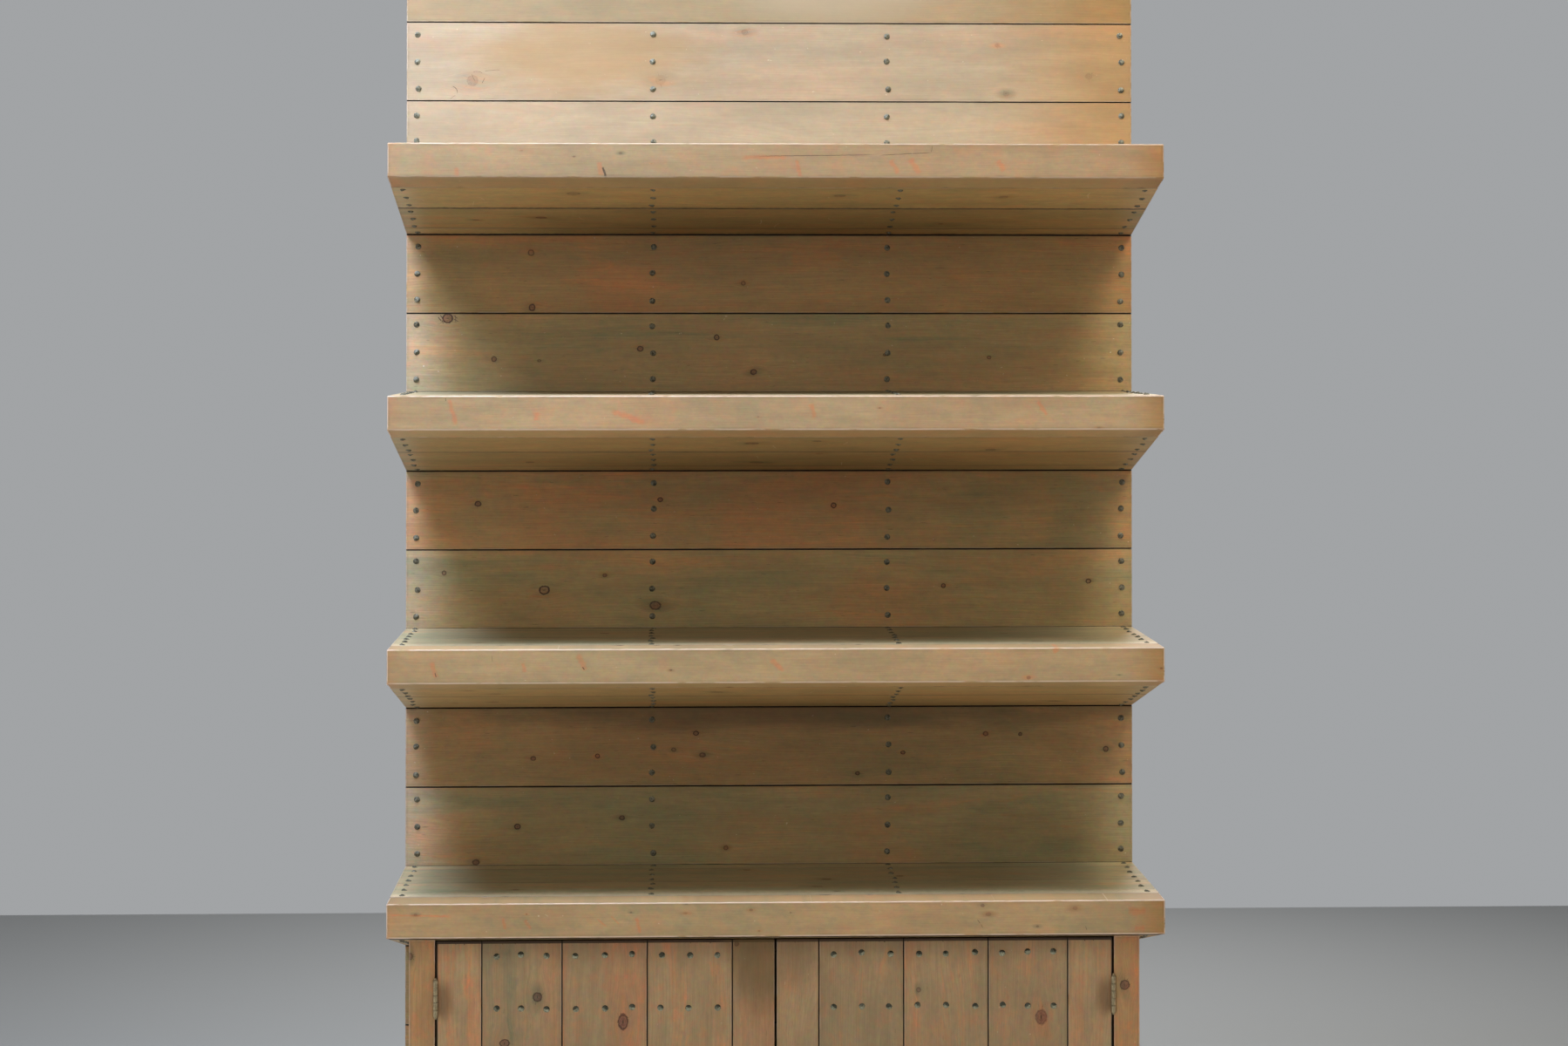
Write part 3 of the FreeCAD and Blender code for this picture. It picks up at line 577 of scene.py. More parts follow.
class Timber:
    """The boards of one piece, with the data that the wood material reads."""

    def __init__(self, name, seed):
        self.name = name
        self.random = random.Random(seed)
        self.verts = []
        self.faces = []
        self.data = {"wood": [], "half": [], "board": [], "tone": [], "wear": []}
        self.keys = []

    def board(
        self, outline, half_length, half, place, radius=0.0012, step=0.12, tone=(1, 1, 1), wear=0.25,
        pith=None, chips=0.0, key=None,
    ):
        """Sweep an outline along u. place turns arrays of u, v, w into x, y, z.

        radius is the easing of the ends, tone the strength of salmon and of grey and the value, pith the place of
        the trunk's middle, and key tells the board from the others of its piece.
        """
        rnd = self.random
        if key is None:
            key = len(self.keys) + rnd.randint(1, 40) * 11
        self.keys.append(key)
        if pith is None:
            pith = (rnd.uniform(-0.06, 0.06), rnd.uniform(0.012, 0.075))
        inner = half_length - radius
        count = max(1, int(round(2 * inner / step)))
        stations = [(-half_length, radius), (-half_length + 0.3 * radius, 0.3 * radius)]
        stations += [(-inner + 2 * inner * n / count, 0.0) for n in range(count + 1)]
        stations += [(half_length - 0.3 * radius, 0.3 * radius), (half_length, radius)]
        outline = np.array(outline)
        low = outline.min(0)
        high = outline.max(0)
        value = tone[2] * (1 + rnd.uniform(-SPREAD, SPREAD))
        mid = (low + high) / 2
        first = len(self.verts)
        ring = len(outline)
        for u, inset in stations:
            ins = np.minimum(np.maximum(outline, low + inset), high - inset)
            if chips and inset == 0:
                nick = max(0.0, rnd.gauss(-0.2, 0.6)) * chips
                pull = (mid - ins) / np.linalg.norm(mid - ins, axis=1)[:, None]
                corner_like = self.arris(outline, low, high)
                ins = ins + pull * (nick * corner_like * np.array([rnd.uniform(0, 1) for _ in ins]))[:, None]
            us = np.full(ring, u)
            xyz = np.array(place(us, ins[:, 0], ins[:, 1])).T
            self.verts += [tuple(p) for p in xyz]
            self.data["wood"] += [(u, v, w) for v, w in ins]
        total = len(self.verts) - first
        self.data["half"] += [(half_length, *half)] * total
        self.data["board"] += [(float(key), pith[0], pith[1])] * total
        self.data["tone"] += [(tone[0], tone[1], value)] * total
        self.data["wear"] += [wear] * total
        self.faces += between_rings(first, len(stations), ring)
        self.faces.append(tuple(range(first + ring - 1, first - 1, -1)))
        last = first + (len(stations) - 1) * ring
        self.faces.append(tuple(range(last, last + ring)))
        return key

    @staticmethod
    def arris(outline, low, high):
        """1 at the rounded corners of an outline and 0 elsewhere."""
        near = np.minimum(outline - low, high - outline)
        return (near.max(1) < 0.004).astype(float)

    def slab(self, half_length, hv, hw, ease, place, **more):
        """A board of rectangular section, with eased edges."""
        return self.board(rectangle(hv, hw, ease), half_length, (hv, hw), place, **more)

    def plank(self, half_length, hv, ease, place, tongue=True, groove=True, **more):
        """A board with a tongue and a groove."""
        return self.board(grooved(hv, THICK / 2, ease, tongue, groove), half_length, (hv, THICK / 2), place, **more)

    def build(self, body, slot, node, wood=None, **looks):
        """Make the piece, in pine with these looks, in place of a node."""
        mesh = bpy.data.meshes.new(self.name)
        mesh.from_pydata(self.verts, [], self.faces)
        for key in ("wood", "half", "board", "tone"):
            layer = mesh.attributes.new(key, "FLOAT_VECTOR", "POINT")
            layer.data.foreach_set("vector", np.array(self.data[key], np.float32).ravel())
        layer = mesh.attributes.new("wear", "FLOAT", "POINT")
        layer.data.foreach_set("value", np.array(self.data["wear"], np.float32))
        orient(mesh)
        finish_piece(self.name, mesh, body, pine((wood or self.name) + "_pine", **looks), node)


def linked(name, data):
    """A new object with this data, in the scene."""
    made = bpy.data.objects.new(name, data)
    bpy.context.scene.collection.objects.link(made)
    return made


def finish_piece(name, mesh, body, material, node, angle=42.0):
    piece = linked(name, mesh)
    mesh.materials.append(material)
    mesh.shade_smooth()
    mesh.set_sharp_from_angle(angle=math.radians(angle))
    piece.modifiers.new("weighted", "WEIGHTED_NORMAL").keep_sharp = True
    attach(piece, body)
    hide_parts(node)


def lying(x, y, z):
    """Boards along X on a vertical face: u to the right, v up, w to the front."""
    return lambda u, v, w: (x + u, y - w, z + v)


def standing(x, y, z):
    """Boards along Z: u up, v to the right, w to the front."""
    return lambda u, v, w: (x + v, y - w, z + u)


def random_knots(rnd, keys, half_length, half_width, each):
    """Made-up knots: u, v, half length, half width, slant and the key of their board."""
    knots = []
    for key in keys:
        for _ in range(each):
            r = rnd.uniform(0.0035, 0.0095)
            knots.append((
                rnd.uniform(-0.9, 0.9) * half_length, rnd.uniform(-0.8, 0.8) * half_width,
                r * rnd.uniform(1.0, 1.5), r, rnd.uniform(-0.3, 0.3), key,
            ))
    return knots


# Knots of the back planks: x and z of the middle, half length, half width and slant, in mm
PANEL_KNOTS = [
    (-441, 1996, 7, 7, 0.0), (-439, 1895, 7, 8, 0.0), (-50, 1940, 5, 5, 0.0), (-594, 1875, 12, 11, 0.1),
    (-509, 1800, 6, 6, 0.0), (-426, 1797, 4, 3, 0.0), (-240, 1819, 7, 6, 0.0), (-99, 1840, 6, 6, 0.0),
    (-31, 1776, 7, 6, 0.2), (212, 1808, 4, 3, 0.0), (405, 1803, 5, 4, 0.0),
    (-538, 1534, 7, 6, 0.0), (-203, 1541, 6, 5, 0.0), (117, 1530, 6, 6, 0.0), (-600, 1407, 5, 5, 0.0),
    (-416, 1375, 12, 10, 0.1), (-305, 1402, 5, 4, 0.0), (-212, 1346, 13, 10, -0.1), (320, 1381, 5, 5, 0.0),
    (589, 1389, 6, 5, 0.0),
    (-137, 1111, 6, 5, 0.0), (-178, 1081, 5, 4, 0.0), (-125, 1071, 7, 5, 0.0), (-318, 1070, 5, 5, 0.0),
    (-436, 1066, 6, 5, 0.0), (398, 1108, 6, 5, 0.0), (462, 1107, 4, 4, 0.0), (245, 1074, 5, 4, 0.0),
    (621, 1079, 6, 6, 0.0), (161, 1036, 5, 4, 0.0), (-273, 956, 6, 5, 0.0), (-465, 941, 7, 6, 0.0),
    (-82, 900, 5, 5, 0.0), (-541, 876, 8, 6, 0.0),
    (-549, 2313, 11, 11, 0.0), (-203, 2315, 10, 9, 0.1), (-47, 2404, 7, 6, 0.0), (421, 2381, 5, 4, 0.0),
    (437, 2291, 6, 5, 0.0), (591, 2324, 7, 6, 0.0),
]
# Splits beside two big knots: x and z of both ends, bow and width, in mm
PANEL_STROKES = [
    (-587, 2303, -577, 2289, 3.5, 0.9), (-526, 2319, -532, 2308, 0.0, 0.7), (-551, 2326, -545, 2312, 0.0, 0.5),
    (-549, 2329, -530, 2327, 2.0, 0.6), (-528, 2330, -497, 2333, 1.0, 0.6), (-590, 2278, -580, 2286, 1.0, 0.4),
    (-612, 1878, -606, 1870, 0.0, 1.5), (-608, 1881, -603, 1875, 0.0, 1.4), (-605, 1872, -602, 1865, 0.0, 1.2),
    (-584, 1881, -576, 1875, 0.0, 1.0), (-583, 1874, -574, 1869, 0.0, 0.9), (-580, 1882, -579, 1866, 0.0, 0.7),
]


def panel_plank(name, low, high, seed, tone, pith, node, tongue=True, look="upper", **looks):
    piece = Timber(name, seed)
    hv = (high - low) / 2
    z = (low + high) / 2
    key = piece.plank(
        HALF_WIDTH, hv, 0.0011, lying(0.0, FACE_Y + THICK / 2, z), tongue, tone=tone, wear=0.35, pith=pith, key=seed,
    )
    size = 0.80 if look == "bay" else 1.0
    knots = [
        (x * MM, kz * MM - z, ru * MM * size, rv * MM * size, slant, key)
        for x, kz, ru, rv, slant in PANEL_KNOTS if low < kz * MM < high
    ]
    strokes = [
        ("dark", x0 * MM, z0 * MM - z, x1 * MM, z1 * MM - z, bow * MM, wide * MM, key)
        for x0, z0, x1, z1, bow, wide in PANEL_STROKES if low < z0 * MM < high
    ]
    piece.build("carcass", "panel_pine", node, knots=knots, strokes=strokes, look=look, **looks)


# The colour of the wash on each kind of board
UPPER_BASE = (0.375, 0.287, 0.205)
CROWN_BASE = (0.305, 0.228, 0.140)
PANEL_BASE = (0.400, 0.266, 0.134)
SHELF_BASE = (0.485, 0.362, 0.222)
TOP_BASE = (0.385, 0.345, 0.220)
UNDER_BASE = (0.405, 0.275, 0.122)
DOOR_BASE = (0.460, 0.320, 0.190)
STILE_BASE = (0.500, 0.296, 0.150)
SIDE_BASE = (0.400, 0.325, 0.185)
INNER_BASE = (0.560, 0.410, 0.235)
PAINTED_SHADE_BASE = (0.150, 0.100, 0.058)
# Boards inside, which were never washed, and the ones behind the doors, which are painted near black as shade
BARE = {"base": INNER_BASE, "plain": True, "seam": None}
PAINTED_SHADE_BOARDS = {"base": PAINTED_SHADE_BASE, "plain": True, "seam": None, "rough": 0.6}

# The planks between the shelves, from the lowest up: a factor for each channel of the base colour, and the
# strength of salmon and of grey and the value
PANEL_SHADES = (
    (0.90, 1.04, 1.08), (0.91, 0.91, 0.86), (1.00, 1.09, 1.04),
    (1.02, 1.01, 0.92), (0.88, 0.94, 0.91), (0.88, 0.82, 0.70),
)
PANEL_TONES = (
    (0.8, 0.7, 1.0), (0.6, 1.0, 1.0), (0.7, 0.9, 1.0), (0.8, 1.0, 1.0), (0.5, 1.0, 0.98), (0.9, 0.6, 1.0),
)
# Stains and painted shade: x and z of the middle, half width, half height, amount and colour
# painted shade: a dark band along the top of the lowest bay, under the back of the shelf above
BAY_PAINTED_SHADE = [(0.05, 1.150, 0.75, 0.045, 0.55, (0.110, 0.068, 0.038))]
UPPER_STAINS = [(-0.34, 2.36, 0.28, 0.10, 0.42, (0.380, 0.210, 0.070))]
CROWN_STAINS = [(0.13, 2.52, 0.30, 0.14, 0.70, (0.450, 0.350, 0.250))]


def shaded(base, factors):
    return tuple(a * b for a, b in zip(base, factors))


def make_panel():
    for n, (shades, tone) in enumerate(zip(PANEL_SHADES, PANEL_TONES)):
        bay, row = divmod(n, 2)
        low = WORKTOP_Z + BAY * bay + PLANK * row
        # painted light at the ends of these planks, and on the top plank of the lowest bay a painted shade band under
        # the shelf above
        panel_plank(
            "plank_bay_%d_row_%d" % (bay + 1, row + 1), low, low + PLANK, 11 + n, tone,
            (0.03 - 0.02 * bay + 0.03 * row, 0.030 + 0.012 * ((bay + row) % 3)),
            "back_plank_bay_%d_row_%d" % (bay + 1, row + 1), look="bay", base=shaded(PANEL_BASE, shades),
            ends=PAINTED_END_LIGHT if row else PAINTED_END_LIGHT_LOW, stains=BAY_PAINTED_SHADE if n == 1 else (),
        )
    edges = (SHELF_TOPS[-1], NARROW_TOP, NARROW_TOP + PLANK, UNIT_HEIGHT)
    for n, (name, tone, pith, base, stains) in enumerate((
        ("narrow", (0.8, 0.22, 1.11), (0.02, 0.04), UPPER_BASE, ()),
        ("upper_1", (0.8, 0.25, 1.00), (-0.02, 0.035), UPPER_BASE, UPPER_STAINS),
        ("upper_2", (0.9, 1.0, 1.0), (0.03, 0.05), CROWN_BASE, CROWN_STAINS),
    )):
        panel_plank(
            "plank_" + name, edges[n], edges[n + 1], 21 + n, tone, pith, "back_plank_" + name, tongue=n < 2,
            base=base, ends=YELLOWED, stains=stains,
        )
    for place, node, seed, heights in (
        ("shelves", "shelf_backing_planks", 31, [top - PLANK / 2 for top in [WORKTOP_Z] + SHELF_TOPS]),
        ("cabinet", "cabinet_back_planks", 32, [PLANK * (n + 0.5) for n in range(5)]),
    ):
        piece = Timber("planks_behind_" + place, seed)
        for z in heights:
            piece.plank(HALF_WIDTH, PLANK / 2, 0.0011, lying(0.0, FACE_Y + THICK / 2, z), groove=z > PLANK)
        piece.build("carcass", "panel_pine", node, base=PANEL_BASE)
    for n, name in enumerate(("outer_left", "inner_left", "inner_right", "outer_right")):
        piece = Timber("post_" + name, 41 + n)
        keys = [piece.board(
            rectangle(POST_HALF, POST_DEEP, 0.0016), UNIT_HEIGHT / 2, (POST_HALF, POST_HALF),
            standing(COLUMNS[n], FACE_Y + THICK + POST_DEEP, UNIT_HEIGHT / 2), wear=0.2,
        )]
        knots = random_knots(piece.random, keys, UNIT_HEIGHT / 2, POST_HALF - 0.002, 3)
        piece.build("carcass", "inner_pine", "back_post_" + name, knots=knots, rough=0.62, **BARE)


# Knots of the front battens: x, height over the middle, half length and half width, in mm
BATTEN_KNOTS = {
    "shelf_3": [(-440, 16, 2.4, 1.2), (-350, 6, 2.8, 1.7), (-270, 12, 3.0, 2.1), (-217, -6, 1.5, 0.7)],
    "shelf_2": [(556, -27, 3.0, 2.1), (-33, -7, 2.2, 1.3), (177, 8, 1.9, 1.2)],
    "shelf_1": [(434, -22, 3.9, 3.1), (591, -18, 2.1, 1.0), (664, -7, 2.2, 1.8), (-183, -7, 2.4, 1.7)],
    "worktop": [
        (-251, 13, 1.8, 1.3), (-156, 27, 2.7, 1.6), (-158, 11, 3.6, 1.8), (-45, 16, 3.0, 2.4),
        (23, 11, 1.8, 1.4), (-31, -20, 1.8, 1.4), (354, 21, 3.6, 2.9), (364, 6, 4.8, 3.3),
        (514, 16, 4.5, 3.6), (449, -15, 2.7, 2.1), (-620, 11, 3.0, 2.4), (-430, 11, 1.8, 1.4),
    ],
}
# Splits and blushes of the front battens: x and height of both ends and the width, in mm
BATTEN_STROKES = {
    "shelf_3": [
        ("dark", -44, 7, 177, 10, 0.7), ("dark", 174, 9, 268, 14, 0.7), ("dark", -301, -11, -294.5, -31, 3.0),
        ("dark", 268, 26, 266, 14, 0.5), ("blush", 33, 3, 40, -30, 3.0), ("blush", 195, 3, 210, -24, 3.7),
        ("blush", 228, 5, 247, -24, 4.5), ("blush", 381, 2, 393, -19, 4.5), ("blush", -308, -2, -303, -28, 4.0),
        ("blush", -552, -12, -551, -31, 3.3), ("blush", -64, 5, 19, 6, 3.0),
    ],
    "shelf_2": [
        ("blush", -564, 26, -551, -23, 3.0), ("blush", -414, 2, -414, -14, 4.5), ("dark", -570, 26, -569, 20, 0.7),
        ("blush", 449, 21, 467, -6, 3.3), ("blush", -288, 5, -225, -19, 4.5), ("blush", 57, 17, 66, -10, 3.7),
    ],
    "shelf_1": [
        ("blush", -594, 9, -584, -20, 3.6), ("dark", -587, -10, -585, -18, 1.0), ("blush", -343, 22, -329, -9, 4.2),
        ("dark", -335, -1, -331, -6, 1.3), ("dark", -490, 19, -489, 8, 0.4), ("blush", 479, 30, 484, 21, 4.5),
        ("blush", -437, 7, -433, -11, 3.0), ("blush", -12, 11, 12, -10, 3.7),
    ],
    "worktop": [
        ("blush", -310, 3, -293, -12, 1.3), ("blush", -286, 8, -271, -8, 1.3), ("blush", -243, 5, -235, -24, 3.0),
        ("dark", 345, -3, 350, -10, 0.7), ("dark", 351, -11, 354, -17, 0.6), ("dark", 532, -15, 534, -22, 0.6),
        ("blush", 604, 11, 638, 9, 6.0), ("blush", 616, -20, 635, -20, 4.5), ("blush", -670, 11, -556, 8, 1.5),
        ("blush", -434, 2, -422, -15, 2.4), ("blush", -471, 6, -466, -16, 2.2),
    ],
}
BATTEN_SHADES = {
    "shelf_3": (0.97, 0.93, 0.93), "shelf_2": (1.03, 0.98, 0.97), "shelf_1": (1.04, 1.00, 0.95),
    "worktop": (0.97, 0.89, 0.80),
}
BATTEN_TONES = {
    "shelf_3": (1.0, 0.55, 1.0), "shelf_2": (0.9, 0.7, 1.0), "shelf_1": (0.8, 0.7, 1.0), "worktop": (0.8, 1.2, 1.0),
}
# The value of each under board, from the front
UNDER_VALUES = {
    "shelf_3": (1.0, 0.92, 0.9), "shelf_2": (0.95, 0.90, 0.9), "shelf_1": (1.08, 1.02, 1.0),
    "worktop": (1.08, 1.02, 1.0),
}
# Half the length of a stroke that runs past both ends of a board, and where the first joint lies on its board
LONG = 2.0
JOINT_V = 0.0715
BOARD_PITCH = 0.1435
BOARD_GAP = 0.0004
RIB_HALF = 0.04


def scuffs(rnd, keys):
    """Short bowed scratches where things were pushed in."""
    out = []
    for key in keys:
        for _ in range(4):
            u, v = rnd.uniform(-0.95, 0.95) * HALF_WIDTH, rnd.uniform(-0.045, 0.045)
            turn, length = rnd.uniform(0.5, 2.4), rnd.uniform(0.020, 0.045)
            out.append((
                "pale", u, v, u + length * 0.5 * math.cos(turn), v + length * math.sin(turn),
                rnd.uniform(-0.004, 0.004), rnd.uniform(0.0005, 0.0011), key,
            ))
    return out


def front_batten(name, top, seed):
    piece = Timber(name + "_edge", seed)
    hv, hw = WEDGE_FRONT / 2, BATTEN / 2
    low_back = -hv - SLOPE * BATTEN
    outline = section([(-hv, hw, 0.0024), (hv, hw, 0.0028), (hv, -hw, 0.0008), (low_back, -hw, 0.0008)])
    key = piece.board(
        outline, HALF_WIDTH, (hv, hw), lying(0.0, FRONT_Y + hw, top - hv), radius=0.0022, step=0.009,
        tone=BATTEN_TONES[name], wear=0.6 if name == "shelf_3" else 1.0, chips=0.0011, pith=(0.05, 0.05), key=seed,
    )
    knots = [(x * MM, z * MM, ru * MM, rv * MM, 0.0, key) for x, z, ru, rv in BATTEN_KNOTS[name]]
    strokes = [
        (kind, x0 * MM, z0 * MM, x1 * MM, z1 * MM, 0.0, wide * MM, key)
        for kind, x0, z0, x1, z1, wide in BATTEN_STROKES[name]
    ]
    # the slope under the batten gets painted shade, near black under the worktop's front
    piece.build(
        "carcass", "shelf_pine", name + "_front_batten", knots=knots, strokes=strokes, look="edge", seam=None,
        base=shaded(SHELF_BASE, BATTEN_SHADES[name]), ends=SMOKED,
        below=(0.020, 0.018, 0.016) if name == "worktop" else (0.90, 0.86, 0.70),
    )


def make_wedge(name, top, seed):
    """A shelf, or the worktop: a front batten, boards over and under, and the ribs between them."""
    front_batten(name, top, seed)
    upper = Timber(name + "_top", seed + 1)
    lower = Timber(name + "_under", seed + 2)
    up_keys, low_keys = [], []
    thick = THICK / math.cos(TILT)
    seams = [FRONT_Y + BATTEN + BOARD_PITCH * n for n in range(3)]
    for n, value in enumerate(UNDER_VALUES[name]):
        y0 = seams[n] + (BOARD_GAP if n else 0.0)
        y1 = seams[n + 1] - BOARD_GAP if n < 2 else FACE_Y
        hv = (y1 - y0) / 2
        y = (y0 + y1) / 2
        # the front top board is made brighter than the others: painted light
        up_keys.append(upper.slab(
            HALF_WIDTH, hv, THICK / 2, 0.0008, lambda u, v, w, y=y: (u, y + v, top - THICK / 2 + w),
            tone=(0.8, 0.9, 1.0 if n else 1.10), wear=0.5,
        ))
        low_keys.append(lower.slab(
            HALF_WIDTH, hv, thick / 2, 0.0008,
            lambda u, v, w, y=y: (u, y + v, underside(top, y + v) + thick / 2 - w), tone=(0.7, 0.7, value), wear=0.3,
        ))
    # the joint behind the front batten is dark, and a pale band on the board beside it is painted light along the front
    # of the top boards
    strokes = [
        (kind, -LONG, -JOINT_V, LONG, -JOINT_V, 0.0, wide, up_keys[0])
        for kind, wide in (("dark", 0.0060), ("pale", 0.0500))
    ]
    # painted light on the ends of the top boards
    upper.build(
        "carcass", "shelf_pine", name + "_top_boards", strokes=strokes, base=TOP_BASE, seam=0.0, ends=PAINTED_END_LIGHT_TOP,
        knots=random_knots(upper.random, up_keys[:2], HALF_WIDTH, 0.07, 3),
    )
    knots = random_knots(lower.random, low_keys[:2], HALF_WIDTH, 0.07, 3)
    strokes = scuffs(lower.random, low_keys[:2])
    # dark lines along the first joint of the under boards, and a wider dark band along their back edge by the panel:
    # that band is painted shade in the corner; all are wider under the top shelf
    widths = (0.0070, 0.0040, 0.0100) if name == "shelf_3" else (0.0030, 0.0020, 0.0060)
    for v, width, key in zip((0.0700, -0.0712, 0.0220), widths, low_keys):
        strokes.append(("dark", -LONG, v, LONG, v, 0.0, width, key))
    # painted light on the ends of the under boards
    lower.build(
        "carcass", "shelf_pine", name + "_under_boards", knots=knots, strokes=strokes, base=UNDER_BASE, seam=0.0,
        ends=PAINTED_END_LIGHT_UNDER,
    )
    make_ribs(name, top, seed + 3, thick)


def make_ribs(name, top, seed, thick):
    ribs = Timber(name + "_webs", seed)
    half = (FACE_Y - FRONT_Y - BATTEN) / 2
    for x in COLUMNS:
        def place(u, v, w, x=x):
            y = FACE_Y - half + u
            low = underside(top, y) + thick
            high = top - THICK
            return (x + w, y, (low + high) / 2 + v / RIB_HALF * (high - low) / 2)
        ribs.slab(half, RIB_HALF, 0.020, 0.0006, place, radius=0.0004, wear=0.1)
    ribs.build("carcass", "inner_pine", name + "_ribs", rough=0.62, **BARE)


def make_shelves():
    make_wedge("worktop", WORKTOP_Z, 61)
    for n, top in enumerate(SHELF_TOPS):
        make_wedge("shelf_%d" % (n + 1), top, 71 + 10 * n)


def roof(gap):
    """Heights under the worktop's sloping underside, for boards that reach up to it."""
    return lambda y: underside(WORKTOP_Z, y) - gap


def sloped(x, y, z0, top, half):
    """Boards along Z whose upper end follows a slope: u up, v to the right, w to the front."""
    def place(u, v, w):
        depth = y - w
        return (x + v, depth, z0 + (u + half) / (2 * half) * (top(depth) - z0))
    return place


# Knots of the doors: x and z of the middle, half width, half height and slant, in mm
DOOR_KNOTS = {
    "left": [
        (-415, 692, 8, 8, 0.0), (-266, 648, 9, 14, 0.0), (-472, 612, 9, 7, 0.1), (-68, 782, 4, 4, 0.0),
        (-300, 520, 9, 12, 0.0), (-160, 330, 8, 10, 0.0), (-430, 260, 10, 12, 0.0), (-40, 430, 7, 8, 0.0),
        (-200, 150, 7, 9, 0.0),
    ],
    "right": [
        (465, 651, 11, 14, 0.0), (180, 560, 8, 9, 0.0), (300, 400, 9, 12, 0.0), (130, 220, 8, 10, 0.0),
        (560, 300, 7, 9, 0.0), (420, 160, 9, 11, 0.0), (250, 700, 4, 4, 0.0),
    ],
}
# Salmon, grey and value of the planks of each door, from the hinges to the middle
DOOR_TONES = {
    "left": ((1.2, 0.35, 1.03), (0.5, 1.0, 0.97), (1.4, 0.30, 1.0), (1.3, 0.20, 0.98), (0.9, 0.20, 0.95)),
    "right": ((0.8, 0.45, 0.99), (1.1, 0.45, 1.01), (1.0, 0.45, 1.0), (1.1, 0.40, 0.99), (0.5, 0.45, 0.98)),
}
# the brown of the darker patches on the doors, most of them painted shade
DOOR_DARKENING = (0.160, 0.090, 0.045)

SIDES = (("left", -1), ("right", 1))
SIDE_PLANKS = 6
INNER_HALF = 0.590
FRAME_HALF = 0.011
RAIL_HALF = 0.030
FLOOR_Z = 0.050
INNER_SHELF_Z = 0.388
STRIP_Y = -0.0915
STRIP_HALF = 0.010
CORNER_X = 0.604
CORNER_HALF = 0.014
CLEAT_X = 0.594
CLEAT_Y = 0.025
CLEAT_DROP = 0.020
LEDGE_HALF = 0.060
LEDGE_INSET = 0.072


def make_stile(side, sign, top):
    piece = Timber(side + "_upright", 91 + sign)
    half = top(CABINET_Y) / 2
    shape = sloped(sign * (CABINET_HALF + OPENING_HALF) / 2, (CABINET_Y + STILE_BACK_Y) / 2, 0.0, top, half)
    key = piece.slab(
        half, (CABINET_HALF - OPENING_HALF) / 2, FRAME_HALF, 0.0009, lambda u, v, w: shape(u, -sign * v, w),
        tone=(1.3, 0.15, 1.0), wear=0.4,
    )
    knots = [
        (0.706 - half, 0.0035, 0.0085, 0.0085, 0.2, key) if sign > 0
        else (0.764 - half, -0.0205, 0.006, 0.005, 0.0, key),
        (-0.6 * half, 0.005, 0.007, 0.005, 0.1, key), (0.2 * half * sign, -0.008, 0.005, 0.004, 0.0, key),
    ]
    # painted shade inside the gap beside the door
    piece.build(
        "carcass", "cabinet_pine", side + "_stile", knots=knots, base=STILE_BASE, seam=None, look="door", gap="inner",
    )


def make_side(side, sign, top):
    """Six side planks, the last one cut to the slope of the worktop."""
    piece = Timber(side + "_side", 95 + sign)
    half = (FACE_Y - STILE_BACK_Y) / 2
    keys = []
    for n in range(SIDE_PLANKS):
        low = PLANK * n
        last = n == SIDE_PLANKS - 1
        hv = (top(STILE_BACK_Y) - low) / 2 if last else PLANK / 2

        def place(u, v, w, low=low, last=last, hv=hv):
            y = FACE_Y - half + u
            rise = (v + hv) / (2 * hv) * (top(y) - low) if last else hv + v
            return (sign * (CABINET_HALF - THICK / 2 + w), y, low + rise)
        keys.append(piece.plank(half, hv, 0.0011, place, not last, n > 0, tone=(0.9, 0.9, 1.0), wear=0.35))
    knots = random_knots(piece.random, keys, half, 0.06, 1)
    piece.build("carcass", "cabinet_pine", side + "_side_planks", knots=knots, base=SIDE_BASE, look="door")


